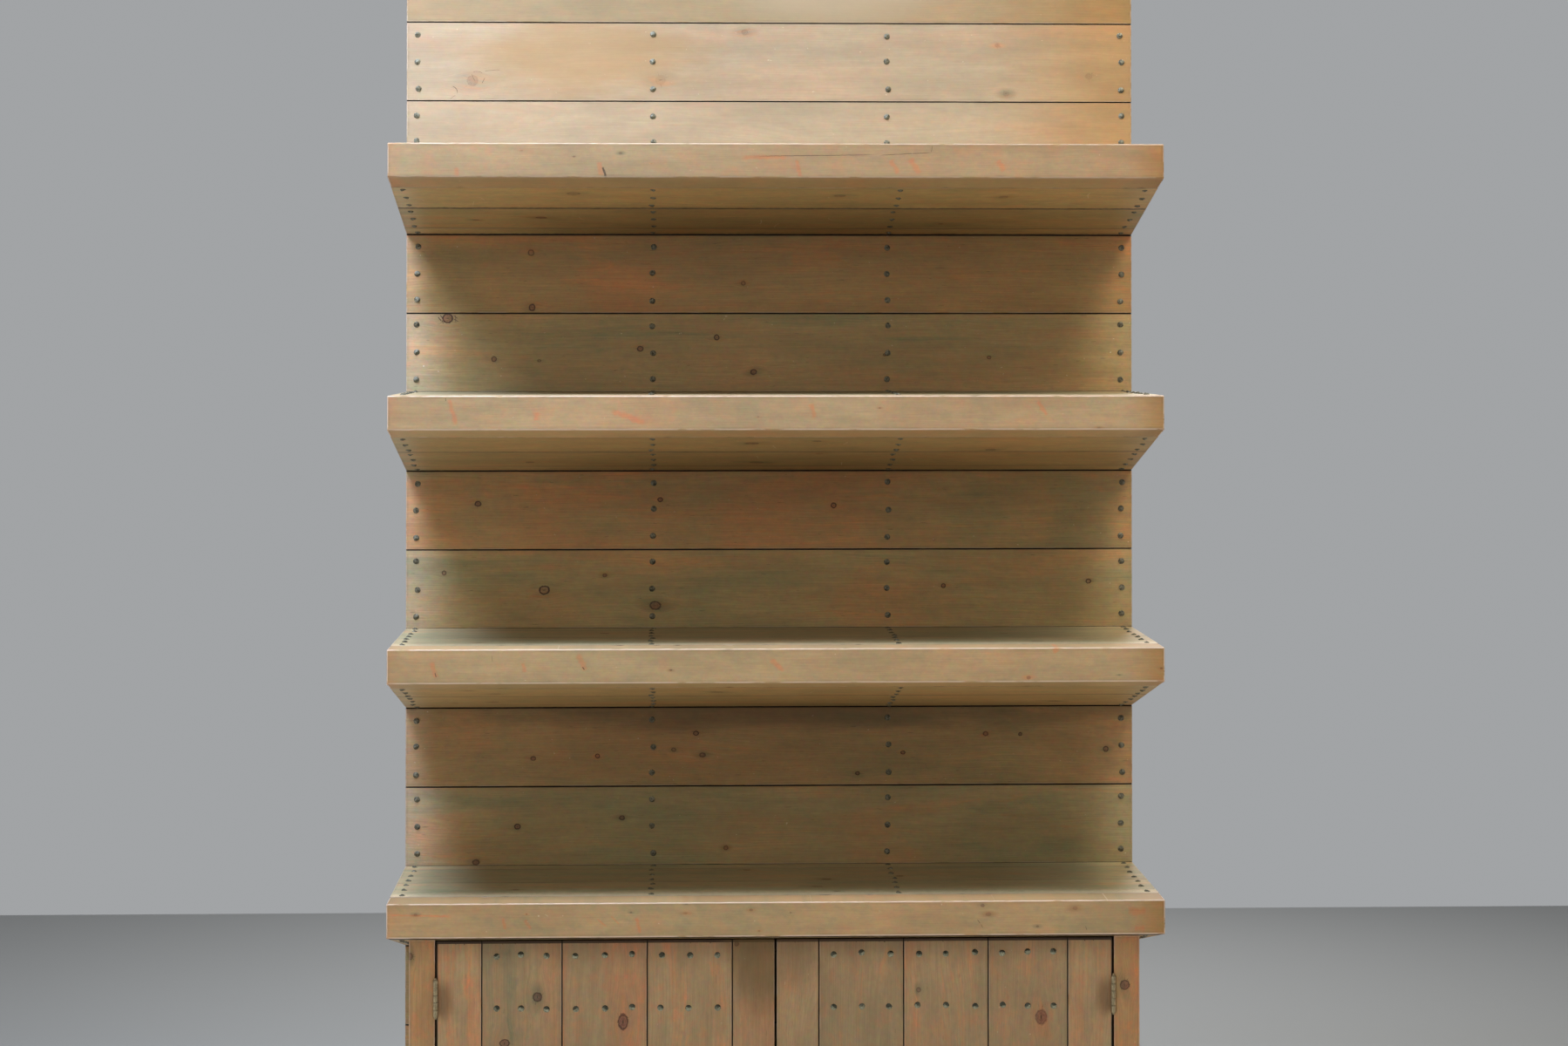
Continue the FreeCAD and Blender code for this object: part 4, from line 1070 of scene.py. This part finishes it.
def make_cabinet():
    top = roof(0.0)
    for side, sign in SIDES:
        make_stile(side, sign, top)
        make_side(side, sign, top)

    piece = Timber("corner_battens", 101)
    for sign in (-1, 1):
        for y in (STILE_BACK_Y + CORNER_HALF, FACE_Y - CORNER_HALF):
            half = top(y) / 2
            piece.slab(
                half, CORNER_HALF, CORNER_HALF, 0.001, sloped(sign * CORNER_X, y, 0.0, top, half), wear=0.2,
            )
    # painted shade: the battens behind the door gaps are near black
    piece.build("carcass", "inner_pine", "cabinet_corner_battens", **PAINTED_SHADE_BOARDS)

    piece = Timber("foot_rail", 102)
    key = piece.slab(
        OPENING_HALF, RAIL_HALF, FRAME_HALF, 0.0014, lying(0.0, (CABINET_Y + STILE_BACK_Y) / 2, RAIL_HALF), wear=0.5,
    )
    knots = random_knots(piece.random, [key], OPENING_HALF, 0.02, 4)
    piece.build("carcass", "cabinet_pine", "plinth_rail", knots=knots, base=DOOR_BASE, seam=None, look="door")

    for name, node, z, y0 in (
        ("cupboard_floor", "cabinet_floor", FLOOR_Z, STILE_BACK_Y),
        ("cupboard_shelf", "cabinet_inner_shelf", INNER_SHELF_Z, CABINET_Y + 0.060),
    ):
        piece = Timber(name, 103)
        hv = (FACE_Y - y0) / 2
        key = piece.slab(
            INNER_HALF, hv, THICK / 2, 0.0012, lambda u, v, w, y=(y0 + FACE_Y) / 2, z=z: (u, y + v, z + w), wear=0.2,
        )
        knots = random_knots(piece.random, [key], INNER_HALF, hv, 6)
        piece.build("carcass", "cabinet_pine", node, knots=knots, rough=0.55, **BARE)

    piece = Timber("cleats", 104)
    for sign in (-1, 1):
        for z in (FLOOR_Z - CLEAT_DROP, INNER_SHELF_Z - CLEAT_DROP):
            piece.slab(
                0.117, 0.010, 0.024, 0.001,
                lambda u, v, w, z=z, sign=sign: (sign * CLEAT_X + w, CLEAT_Y + u, z + v), wear=0.2,
            )
    piece.build("carcass", "inner_pine", "cabinet_shelf_cleats", rough=0.6, **BARE)

    piece = Timber("stop_strip", 105)
    low = underside(WORKTOP_Z, STRIP_Y + STRIP_HALF) - 2 * STRIP_HALF

    def strip(u, v, w):
        y = STRIP_Y - w
        return (u, y, low + (v + STRIP_HALF) / (2 * STRIP_HALF) * (underside(WORKTOP_Z, y) - low))
    piece.slab(INNER_HALF, STRIP_HALF, STRIP_HALF, 0.001, strip, wear=0.2)
    # painted shade: the strip behind the door tops is near black
    piece.build("carcass", "inner_pine", "door_stop_strip", **PAINTED_SHADE_BOARDS)


def make_door(side, sign):
    body = side + "_door"
    top = roof(DOOR_GAP)
    y = CABINET_Y + THICK / 2
    width = DOOR_OUTER - DOOR_INNER
    middle_x = sign * (DOOR_OUTER + DOOR_INNER) / 2
    half = (top(CABINET_Y) - DOOR_BOTTOM) / 2
    middle = DOOR_BOTTOM + half
    base = sloped(0.0, y, DOOR_BOTTOM, top, half)
    piece = Timber(side + "_door_boards", 121 + sign)
    knots = []
    inner = DOOR_OUTER
    for n, (share, tone) in enumerate(zip(DOOR_SHARES, DOOR_TONES[side])):
        outer, inner = inner, inner - width * share
        x = sign * (outer + inner) / 2
        key = piece.plank(
            half, (outer - inner) / 2, 0.0009, lambda u, v, w, x=x: (x + sign * v, *base(u, v, w)[1:]), n > 0, n < 4,
            radius=0.0016, step=0.02, tone=tone, wear=0.45, chips=0.0006,
        )
        for kx, kz, ru, rv, slant in DOOR_KNOTS[side]:
            if inner < sign * kx * MM < outer:
                knots.append((kz * MM - middle, sign * (kx * MM - x), rv * MM, ru * MM, slant, key))
    # darker patches on the door: along the top a painted shade under the worktop's front, a darker patch at the inner
    # top corner, and beside the upper hinge its painted shadow
    stains = [
        (sign * 0.30, 0.81, 0.45, 0.09, 0.22, DOOR_DARKENING),
        (-0.005, 0.79, 0.11, 0.17, 0.66, (0.155, 0.096, 0.036)) if sign < 0 else (0.02, 0.79, 0.10, 0.12, 0.35, DOOR_DARKENING),
        (sign * 0.581, 0.684, 0.026, 0.046, 0.60, DOOR_DARKENING),
    ]
    # the door boards get painted shade inside the gaps around them
    piece.build(
        body, "cabinet_pine", side + "_door_planks", side + "_door", knots=knots, base=DOOR_BASE, stains=stains,
        ragged_end=0.85, look="door", gap="both",
    )
    piece = Timber(side + "_door_ledgers", 131 + sign)
    reach = width / 2 - 0.010
    keys = [
        piece.slab(reach, LEDGE_HALF, THICK / 2, 0.0025, lying(middle_x, CABINET_Y + THICK * 1.5, z), wear=0.3)
        for z in (top(CABINET_Y) - LEDGE_INSET, DOOR_BOTTOM + LEDGE_INSET)
    ]
    knots = random_knots(piece.random, keys, reach, 0.05, 2)
    piece.build(body, "cabinet_pine", side + "_door_ledges", knots=knots, **BARE)


# ---------------------------------------------------------------- nails and screws


def fasteners(node, count, head_height=0.0):
    """Where each fastener of a node is: the middle of its head's seat and the way it faces."""
    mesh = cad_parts[node].data
    points = np.zeros(len(mesh.vertices) * 3)
    mesh.vertices.foreach_get("co", points)
    out = []
    for block in points.reshape(count, -1, 3):
        middle = block.mean(0)
        tip = block[np.argmax(np.linalg.norm(block - middle, axis=1))]
        axis = middle - tip
        axis /= np.linalg.norm(axis)
        reach = ((block - tip) @ axis).max()
        out.append((tip + axis * (reach - head_height), axis))
    return out


def frame_of(axis, turn):
    """Two directions square to an axis, turned about it."""
    other = np.array([0.0, 0.0, 1.0]) if abs(axis[2]) < 0.9 else np.array([1.0, 0.0, 0.0])
    a = np.cross(axis, other)
    a /= np.linalg.norm(a)
    b = np.cross(axis, a)
    return a * math.cos(turn) + b * math.sin(turn), b * math.cos(turn) - a * math.sin(turn)


NAIL_HEIGHT = 0.0036
NAIL_SIDES = 9
# Share of the radius and of the height of each ring of a nail's head
NAIL_RINGS = ((1.0, -0.30), (1.0, 0.05), (0.90, 0.42), (0.60, 0.84), (0.24, 0.99))


def nail_heads(name, node, count, body, seed, radius=0.0055, material=None):
    """Hammered heads: a few flat strikes over a dome, no two alike."""
    rnd = random.Random(seed)
    verts, faces = [], []
    for seat, axis in fasteners(node, count, NAIL_HEIGHT):
        a, b = frame_of(axis, rnd.uniform(0, math.tau))
        lean = (rnd.gauss(0, 0.13), rnd.gauss(0, 0.13))
        strikes = [(rnd.uniform(0, math.tau), rnd.uniform(0.52, 0.80)) for _ in range(4)]
        first = len(verts)
        for share, rise in NAIL_RINGS:
            for n in range(NAIL_SIDES):
                turn = math.tau * n / NAIL_SIDES
                r = share * (1 - 0.03 * rnd.random())
                x, y, z = r * math.cos(turn), r * math.sin(turn), rise
                if rise > 0:
                    z *= 1 + lean[0] * x + lean[1] * y
                    for way, limit in strikes:
                        # a strike flattens what stands beyond a slanting plane
                        face = (math.cos(way) * 0.62, math.sin(way) * 0.62, 0.78)
                        over = max(0.0, x * face[0] + y * face[1] + z * face[2] - limit)
                        x, y, z = x - over * face[0], y - over * face[1], z - over * face[2]
                    z = min(z, 1.0)
                verts.append(tuple(seat + (a * x + b * y) * radius + axis * z * NAIL_HEIGHT))
        faces += between_rings(first, len(NAIL_RINGS), NAIL_SIDES)
        faces.append(tuple(range(first + NAIL_SIDES - 1, first - 1, -1)))
        faces.append(tuple(range(len(verts) - NAIL_SIDES, len(verts))))
    solid_piece(name, verts, faces, body, material or IRON, node, 24.0)


def screw_heads(name, node, count, body, radius, seed, proud=0.0):
    """Slotted countersunk heads, set flush."""
    rnd = random.Random(seed)
    verts, faces = [], []
    sides = 24
    lip, slot, depth = radius * 0.93, radius * 0.13, radius * 0.30
    half = math.sqrt(lip ** 2 - slot ** 2)
    rings = ((radius * 0.55, -radius * 0.75), (radius, -0.00002), (lip, 0.0))
    for seat, axis in fasteners(node, count):
        a, b = frame_of(axis, rnd.uniform(0, math.tau))
        start = len(verts)
        top = start + 2 * sides
        turns = [math.tau * n / sides for n in range(sides)]
        points = [(r * math.cos(turn), r * math.sin(turn), z) for r, z in rings for turn in turns]
        inner = points[2 * sides:]
        # the slot's corners: four at one end, then four at the other
        points += [
            (x, y, z) for x in (half, -half) for y, z in ((slot, 0), (slot, -depth), (-slot, -depth), (-slot, 0))
        ]
        verts += [tuple(seat + axis * proud + a * x + b * y + axis * z) for x, y, z in points]
        faces += between_rings(start, 3, sides)
        faces.append(tuple(range(start + sides - 1, start - 1, -1)))
        above = [top + n for n in range(sides) if inner[n][1] > slot]
        below = [top + n for n in range(sides) if inner[n][1] < -slot]
        ends = sorted((n for n in range(sides) if abs(inner[n][1]) <= slot), key=lambda n: inner[n][1])
        right = [top + n for n in ends if inner[n][0] > 0]
        left = [top + n for n in reversed(ends) if inner[n][0] < 0]
        c = range(top + sides, top + sides + 8)
        faces += [
            (c[0], *above, c[4]), (c[7], *below, c[3]),
            (c[0], c[4], c[5], c[1]), (c[1], c[5], c[6], c[2]), (c[2], c[6], c[7], c[3]),
            (c[0], c[1], c[2], c[3], below[-1], *right, above[0]),
            (c[7], c[6], c[5], c[4], above[-1], *left, below[0]),
        ]
    solid_piece(name, verts, faces, body, STEEL, node, 30.0)


# ---------------------------------------------------------------- hinges

HINGE_X = 0.5915
HINGE_Y = -0.1465
HINGE_HEIGHT = 0.064
BARREL = 0.0045
HINGE_ZS = (0.6911, 0.162)
LEAF_WIDTH = 0.017
LEAF_GAP = 0.0004
KNUCKLE_GAP = 0.0001


def lathe(verts, faces, profile, x, y, z, sides=24):
    """A turned shape about a vertical line. profile has (radius, height) points."""
    first = len(verts)
    for r, h in profile:
        for n in range(sides):
            turn = math.tau * n / sides
            verts.append((x + r * math.cos(turn), y + r * math.sin(turn), z + h))
    faces += between_rings(first, len(profile), sides)


def knuckle(verts, faces, x, y, z0, z1):
    """A hollow knuckle with eased ends."""
    bore, ease = 0.00255, 0.0006
    h = z1 - z0
    profile = [(bore, 0.0), (BARREL - ease, 0.0), (BARREL, ease), (BARREL, h - ease), (BARREL - ease, h), (bore, h)]
    profile.append(profile[0])
    lathe(verts, faces, profile, x, y, z0)


def plate(verts, faces, x0, x1, y0, y1, z0, z1):
    first = len(verts)
    verts += [(x, y, z) for x in (x0, x1) for y in (y0, y1) for z in (z0, z1)]
    for quad in ((0, 1, 3, 2), (4, 6, 7, 5), (0, 4, 5, 1), (2, 3, 7, 6), (0, 2, 6, 4), (1, 5, 7, 3)):
        faces.append(tuple(first + n for n in quad))


def hinge_leaves(name, node, body, sign, on_frame):
    """The leaves of both hinges of a door, on the frame or on the door, with their knuckles."""
    verts, faces = [], []
    way = 1 if on_frame else -1
    x0, x1 = sorted(sign * (HINGE_X + way * off) for off in (0.0015, 0.0002))
    y_plate = HINGE_Y + BARREL + LEAF_GAP
    pitch = HINGE_HEIGHT / 5
    for z in HINGE_ZS:
        low = z - HINGE_HEIGHT / 2
        plate(verts, faces, x0, x1, y_plate, y_plate + LEAF_WIDTH, low, low + HINGE_HEIGHT)
        for n in range(0 if on_frame else 1, 5, 2):
            z0 = low + n * pitch + KNUCKLE_GAP
            z1 = low + (n + 1) * pitch - KNUCKLE_GAP
            knuckle(verts, faces, sign * HINGE_X, HINGE_Y, z0, z1)
            plate(verts, faces, x0, x1, HINGE_Y + 0.0031, y_plate + 0.0002, z0 + 0.0004, z1 - 0.0004)
    solid_piece(name, verts, faces, body, BRASS, node, 50.0, merge=1e-7)


# Radius and height over the barrel's end of the turned tip of a pin
PIN_TIP = [
    (0.0001, 0.0044), (0.0013, 0.0041), (0.0023, 0.0031), (0.0025, 0.0022),
    (0.0024, 0.0014), (0.0034, 0.0008), (0.0034, 0.0001), (0.0025, 0.0),
]


def hinge_pins(name):
    verts, faces = [], []
    half = HINGE_HEIGHT / 2
    for sign in (-1, 1):
        for z in HINGE_ZS:
            profile = [(r, -half - h) for r, h in PIN_TIP] + [(r, half + h) for r, h in reversed(PIN_TIP)]
            lathe(verts, faces, profile, sign * HINGE_X, HINGE_Y, z)
    solid_piece(name, verts, faces, "carcass", BRASS, "hinge_pins", 50.0)


# Dark and light colour, roughness, metallic, grain and patina
IRON = metal("iron", (0.055, 0.054, 0.042), (0.235, 0.228, 0.178), 0.52, 0.22, 700.0, (0.066, 0.058, 0.040))
PAINTED_SHADE_IRON = metal(
    "painted_shade_iron", (0.120, 0.130, 0.095), (0.310, 0.320, 0.240), 0.42, 0.3, 700.0, (0.110, 0.100, 0.065), True
)
BRASS = metal(
    "brass", (0.250, 0.212, 0.135), (0.370, 0.318, 0.215), 0.34, 0.85, 420.0, (0.215, 0.178, 0.108), dents=0.05
)
STEEL = metal("steel", (0.260, 0.250, 0.225), (0.420, 0.405, 0.365), 0.42, 0.9, 800.0)

make_panel()
make_shelves()
make_cabinet()
for side, sign in SIDES:
    make_door(side, sign)

nail_heads("nails_back", "back_plank_nails", 160, "carcass", 201, 0.0059)
nail_heads("nails_shelves", "shelf_and_worktop_nails", 220, "carcass", 202)
nail_heads("nails_sides", "cabinet_side_nails", 60, "carcass", 203)
# the door nails get painted shade: dark on top, light underneath
for seed, (side, _) in enumerate(SIDES, 204):
    nail_heads("nails_%s_door" % side, side + "_door_nails", 36, side + "_door", seed, 0.0059, PAINTED_SHADE_IRON)
screw_heads("screws_posts", "shelf_fixing_screws", 32, "carcass", 0.006, 206, -0.00003)
screw_heads("screws_hinge_frame", "hinge_frame_screws", 12, "carcass", 0.003, 207, 0.0001)
for seed, (side, _) in enumerate(SIDES, 208):
    screw_heads("screws_hinge_" + side, side + "_hinge_door_screws", 6, side + "_door", 0.003, seed, 0.0001)
for side, sign in SIDES:
    hinge_leaves(side + "_hinge_frame", side + "_hinge_frame_leaves", "carcass", sign, True)
    hinge_leaves(side + "_hinge_door", side + "_hinge_door_leaves", side + "_door", sign, False)
hinge_pins("hinge_pins_turned")


# ---------------------------------------------------------------- stage, lights and camera


BACKDROP = (0.36, 0.37, 0.38)
FLOOR_REACH = 14.0
FLOOR_BACK = 4.6
# The camera was solved from the photograph, whose size and focal length are in pixels
IMAGE_WIDTH = 1799.0
IMAGE_HEIGHT = 1200.0
FOCAL_LENGTH = 3716.47
HORIZON_ROW = 333.13
SENSOR = 36.0


def seen_rays(g):
    """1 on the rays that show the background: from the camera, off gloss and through glass."""
    path = g.new("ShaderNodeLightPath").outputs
    seen = g.most(path["Is Camera Ray"], path["Is Glossy Ray"])
    return g.most(seen, path["Is Transmission Ray"])


def make_stage():
    mesh = bpy.data.meshes.new("floor")
    corners = [
        (-FLOOR_REACH, -FLOOR_REACH), (FLOOR_REACH, -FLOOR_REACH), (FLOOR_REACH, FLOOR_BACK), (-FLOOR_REACH, FLOOR_BACK)
    ]
    mesh.from_pydata([(x, y, -0.0005) for x, y in corners], [], [(0, 1, 2, 3)])
    floor = linked("floor", mesh)
    material, g, shader = new_material("floor")
    g.fill(shader, Base_Color=(0.56, 0.575, 0.59, 1.0), Roughness=0.75)
    # away from the object the floor shows the background's colour, as the world does
    x, y, _ = g.split(g.new("ShaderNodeTexCoord").outputs["Object"])
    far_off = g.most(g.size(x), g.mul(y, -1.0))
    glow = g.fill(g.new("ShaderNodeEmission"), Color=(*BACKDROP, 1.0))
    g.blend("Material Output", g.mul(seen_rays(g), g.smooth(far_off, 2.6, 5.0)), shader, glow)
    mesh.materials.append(material)


def lamp(name, place, target, size_x, size_y, power, colour):
    data = bpy.data.lights.new(name, "AREA")
    data.shape = "RECTANGLE"
    data.size = size_x
    data.size_y = size_y
    data.energy = power
    data.color = colour
    piece = linked(name, data)
    piece.location = place
    piece.rotation_euler = (Vector(target) - Vector(place)).to_track_quat("-Z", "Y").to_euler()
    piece.visible_camera = False


# Place, target, size, power and colour: soft light from above on both sides, a broad fill
# from the front, and the light that a pale floor throws back
COOL = (0.74, 0.85, 1.0)
WARM = (1.0, 0.89, 0.66)
LAMPS = {
    "left_high": ((-1.4, -0.9, 3.9), (-0.5, 0.1, 1.6), 0.8, 0.8, 14.0, COOL),
    "left_near": ((-1.3, -0.6, 3.3), (-0.5, 0.1, 1.6), 0.6, 0.6, 36.0, COOL),
    "left_steep": ((-1.0, -0.7, 3.9), (-0.6, 0.1, 1.6), 0.5, 0.5, 34.0, COOL),
    "right_high": ((1.4, -0.9, 3.9), (0.5, 0.1, 1.6), 0.8, 0.8, 35.0, WARM),
    "right_side": ((2.2, -0.4, 3.6), (0.5, 0.1, 1.6), 0.8, 0.8, 10.0, (1.0, 0.95, 0.80)),
    "front": ((-0.8, -5.0, 3.2), (0.0, 0.0, 1.4), 2.5, 2.0, 70.0, (1.0, 0.92, 0.74)),
    "floor_front": ((0.0, -1.6, 0.02), (0.0, -1.6, 3.0), 3.0, 1.6, 10.0, (1.0, 0.88, 0.62)),
    "floor_left": ((-2.6, -1.0, 0.02), (-2.6, -1.0, 3.0), 2.0, 2.4, 25.0, (1.0, 0.90, 0.76)),
    "floor_right": ((2.6, -1.0, 0.02), (2.6, -1.0, 3.0), 2.0, 2.4, 19.0, (1.0, 0.72, 0.45)),
    "back": ((0.6, 4.4, 3.4), (0.0, 0.2, 1.2), 2.5, 2.5, 70.0, (1.0, 0.97, 0.92)),
}


def make_world():
    world = bpy.data.worlds.new("world")
    bpy.context.scene.world = world
    world.use_nodes = True
    g = Graph(world.node_tree)
    light = g.fill(g.nodes["Background"], Color=(0.9, 0.95, 1.0, 1.0), Strength=0.03)
    shown = g.fill(g.new("ShaderNodeBackground"), Color=(*BACKDROP, 1.0), Strength=1.0)
    g.blend("World Output", seen_rays(g), light, shown)


def make_camera():
    data = bpy.data.cameras.new("camera")
    camera = linked("camera", data)
    camera.location = (-0.1793, -5.8098, 1.8437)
    camera.rotation_euler = (math.pi / 2 + 0.0139, 0.0, -0.0342)
    data.sensor_width = SENSOR
    data.sensor_fit = "HORIZONTAL"
    data.lens = SENSOR * FOCAL_LENGTH / IMAGE_WIDTH
    data.shift_x = 0.0
    data.shift_y = (HORIZON_ROW - IMAGE_HEIGHT / 2) / IMAGE_WIDTH
    bpy.context.scene.camera = camera


make_stage()
for lamp_name, values in LAMPS.items():
    lamp(lamp_name, *values)
make_world()
make_camera()
bpy.context.scene.view_settings.view_transform = "Standard"
